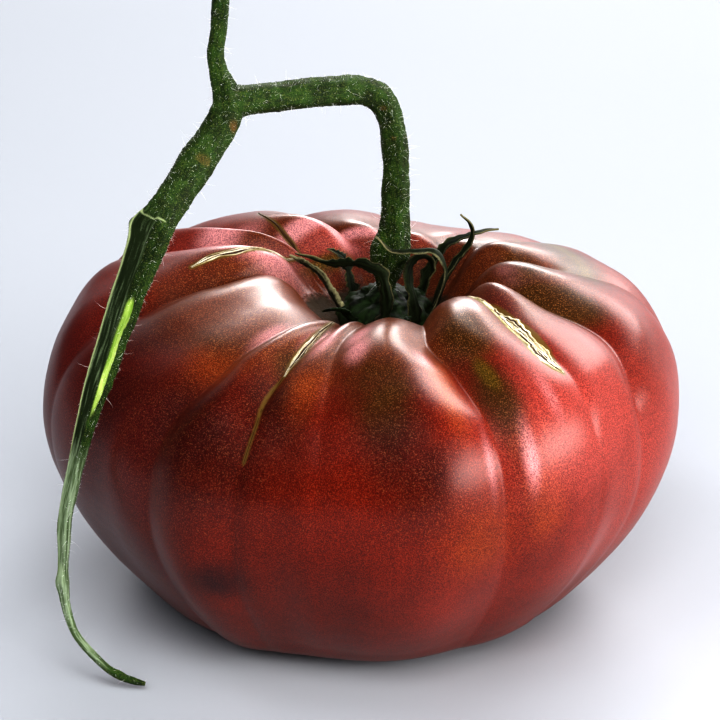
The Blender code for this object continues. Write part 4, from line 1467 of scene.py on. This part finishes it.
@dataclass
class Studio:
    """A pale table top, soft light from behind and from the right, and the camera."""

    aim: Vector = field(default_factory=lambda: Vector((0.0, 0.0, 0.0425)))
    elevation: float = 25.0
    distance: float = 0.6
    lens: float = 173.5
    sensor: float = 36.0
    gamma: float = 0.68
    daylight: float = 3.2
    table: tuple[Colour, Colour] = ((0.360, 0.379, 0.408), (0.370, 0.387, 0.414))
    table_radius: float = 2500.0
    table_top: float = -0.05
    table_sides: int = 96
    lights: tuple[SoftBox, ...] = (
        SoftBox("back_right", 54, 34, (0.7, 0.6), 9.0, (1.0, 0.985, 0.975)),
        SoftBox("back_window", 87, 20, (0.48, 0.32), 19.0, (1.0, 0.975, 0.97)),
        SoftBox("right_low", -22, 12, (1.1, 0.40), 14.0, (1.0, 0.98, 0.97)),
        SoftBox("left_top", 182, 60, (0.40, 0.40), 9.0, (1.0, 0.97, 0.98), mirrored=False),
        SoftBox("top_fill", 262, 66, (0.9, 0.9), 2.8, (0.97, 0.98, 1.0), mirrored=False),
        SoftBox("front_fill", 279, 42, (0.4, 0.4), 10.0, (1.0, 0.98, 0.96), 0.6, False),
        SoftBox("left_fill", 222, 36, (0.3, 0.3), 5.0, (0.97, 0.98, 1.0), 0.6, False),
        SoftBox("right_fill", 322, 12, (0.4, 0.3), 8.0, (1.0, 0.98, 0.97), 0.6, False))

    def floor(self) -> None:
        """A wide pale table top."""
        g, shader, material = surface_material("pale_floor", Roughness=0.7, Specular_IOR_Level=0.2)
        tone = g.noise(g.place(), 260.0, 2.0)
        finish_shader(g, shader, Base_Color=g.mix(tone.eased(0.3, 0.7), *self.table))
        angle = np.linspace(0, 2 * np.pi, self.table_sides, endpoint=False)
        points = np.stack([self.table_radius * np.cos(angle), self.table_radius * np.sin(angle),
                           np.full(self.table_sides, self.table_top)], axis=-1)
        make_piece("floor", points, [tuple(range(self.table_sides))], material)

    def world(self) -> None:
        """Ambient light: bright behind and above, dim on the camera's side."""
        world = bpy.data.worlds.new("studio")
        bpy.context.scene.world = world
        world.use_nodes = True
        g = Graph(world.node_tree)
        direction = g.add("ShaderNodeSeparateXYZ", None, {0: g.add("ShaderNodeTexCoord").outputs["Generated"]})
        x, y, z = (Value(g, direction.outputs[k]) for k in range(3))
        facing = (x * 0.42 + y * 0.87 + z * 0.25).most(0.0)
        colour = g.mix(facing**5.0, (0.010, 0.011, 0.013), (0.97, 0.98, 1.0))
        shade = g.add("ShaderNodeBackground", None, {"Color": colour, "Strength": self.daylight})
        g.add("ShaderNodeOutputWorld", None, {"Surface": shade.outputs[0]})

    def camera(self) -> None:
        """The camera, unrolled and looking down on the shoulders at a low angle."""
        e = math.radians(self.elevation)
        back = Vector((0.0, -math.cos(e), math.sin(e)))
        data = bpy.data.cameras.new("camera")
        data.lens, data.sensor_width = self.lens, self.sensor
        data.clip_start, data.clip_end = 0.01, 20.0
        camera = bpy.data.objects.new("camera", data)
        camera.location = self.aim + back * self.distance
        camera.rotation_mode = "QUATERNION"
        camera.rotation_quaternion = (-back).to_track_quat("-Z", "Y")
        bpy.context.collection.objects.link(camera)
        bpy.context.scene.camera = camera

    def build(self) -> None:
        """Sets up the floor, the light, the camera and the film's contrast."""
        self.floor()
        self.world()
        for light in self.lights:
            light.place(self.aim)
        self.camera()
        settings = bpy.context.scene.view_settings
        settings.view_transform = "Standard"
        settings.look = "None"
        settings.gamma = self.gamma


def main() -> None:
    """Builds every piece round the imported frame, then the studio."""
    logging.basicConfig(level=logging.INFO, format="%(name)s %(message)s")
    fruit = Fruit()
    scars = Scars(fruit)
    settle(fruit.build(SkinFinish().material(), scars), "tomato_skin", "fruit")
    for scar in scars.build():
        settle(scar, "tomato_skin")
    Calyx().build()
    green = StalkFinish().material()
    hair = HairFinish().material()
    for stalk, node in ((pedicel(), "pedicel"), (truss_stalk(), "truss_stalk")):
        piece = stalk.build(green)
        settle(piece, "green_stalk", node)
        fuzz = HairCoat(stalk.name + "_fuzz", density=1.6e6, length=0.5, radius=0.032,
                        lean=0.7, bend=0.3, seed=3)
        long = HairCoat(stalk.name + "_hairs", density=1.7e5, length=2.2, radius=0.03,
                        lean=0.6, bend=0.4, seed=4)
        for coat in (fuzz, long):
            settle(coat.grow(piece, hair), "green_stalk")
    Studio().build()


if __name__ == "__main__":
    main()
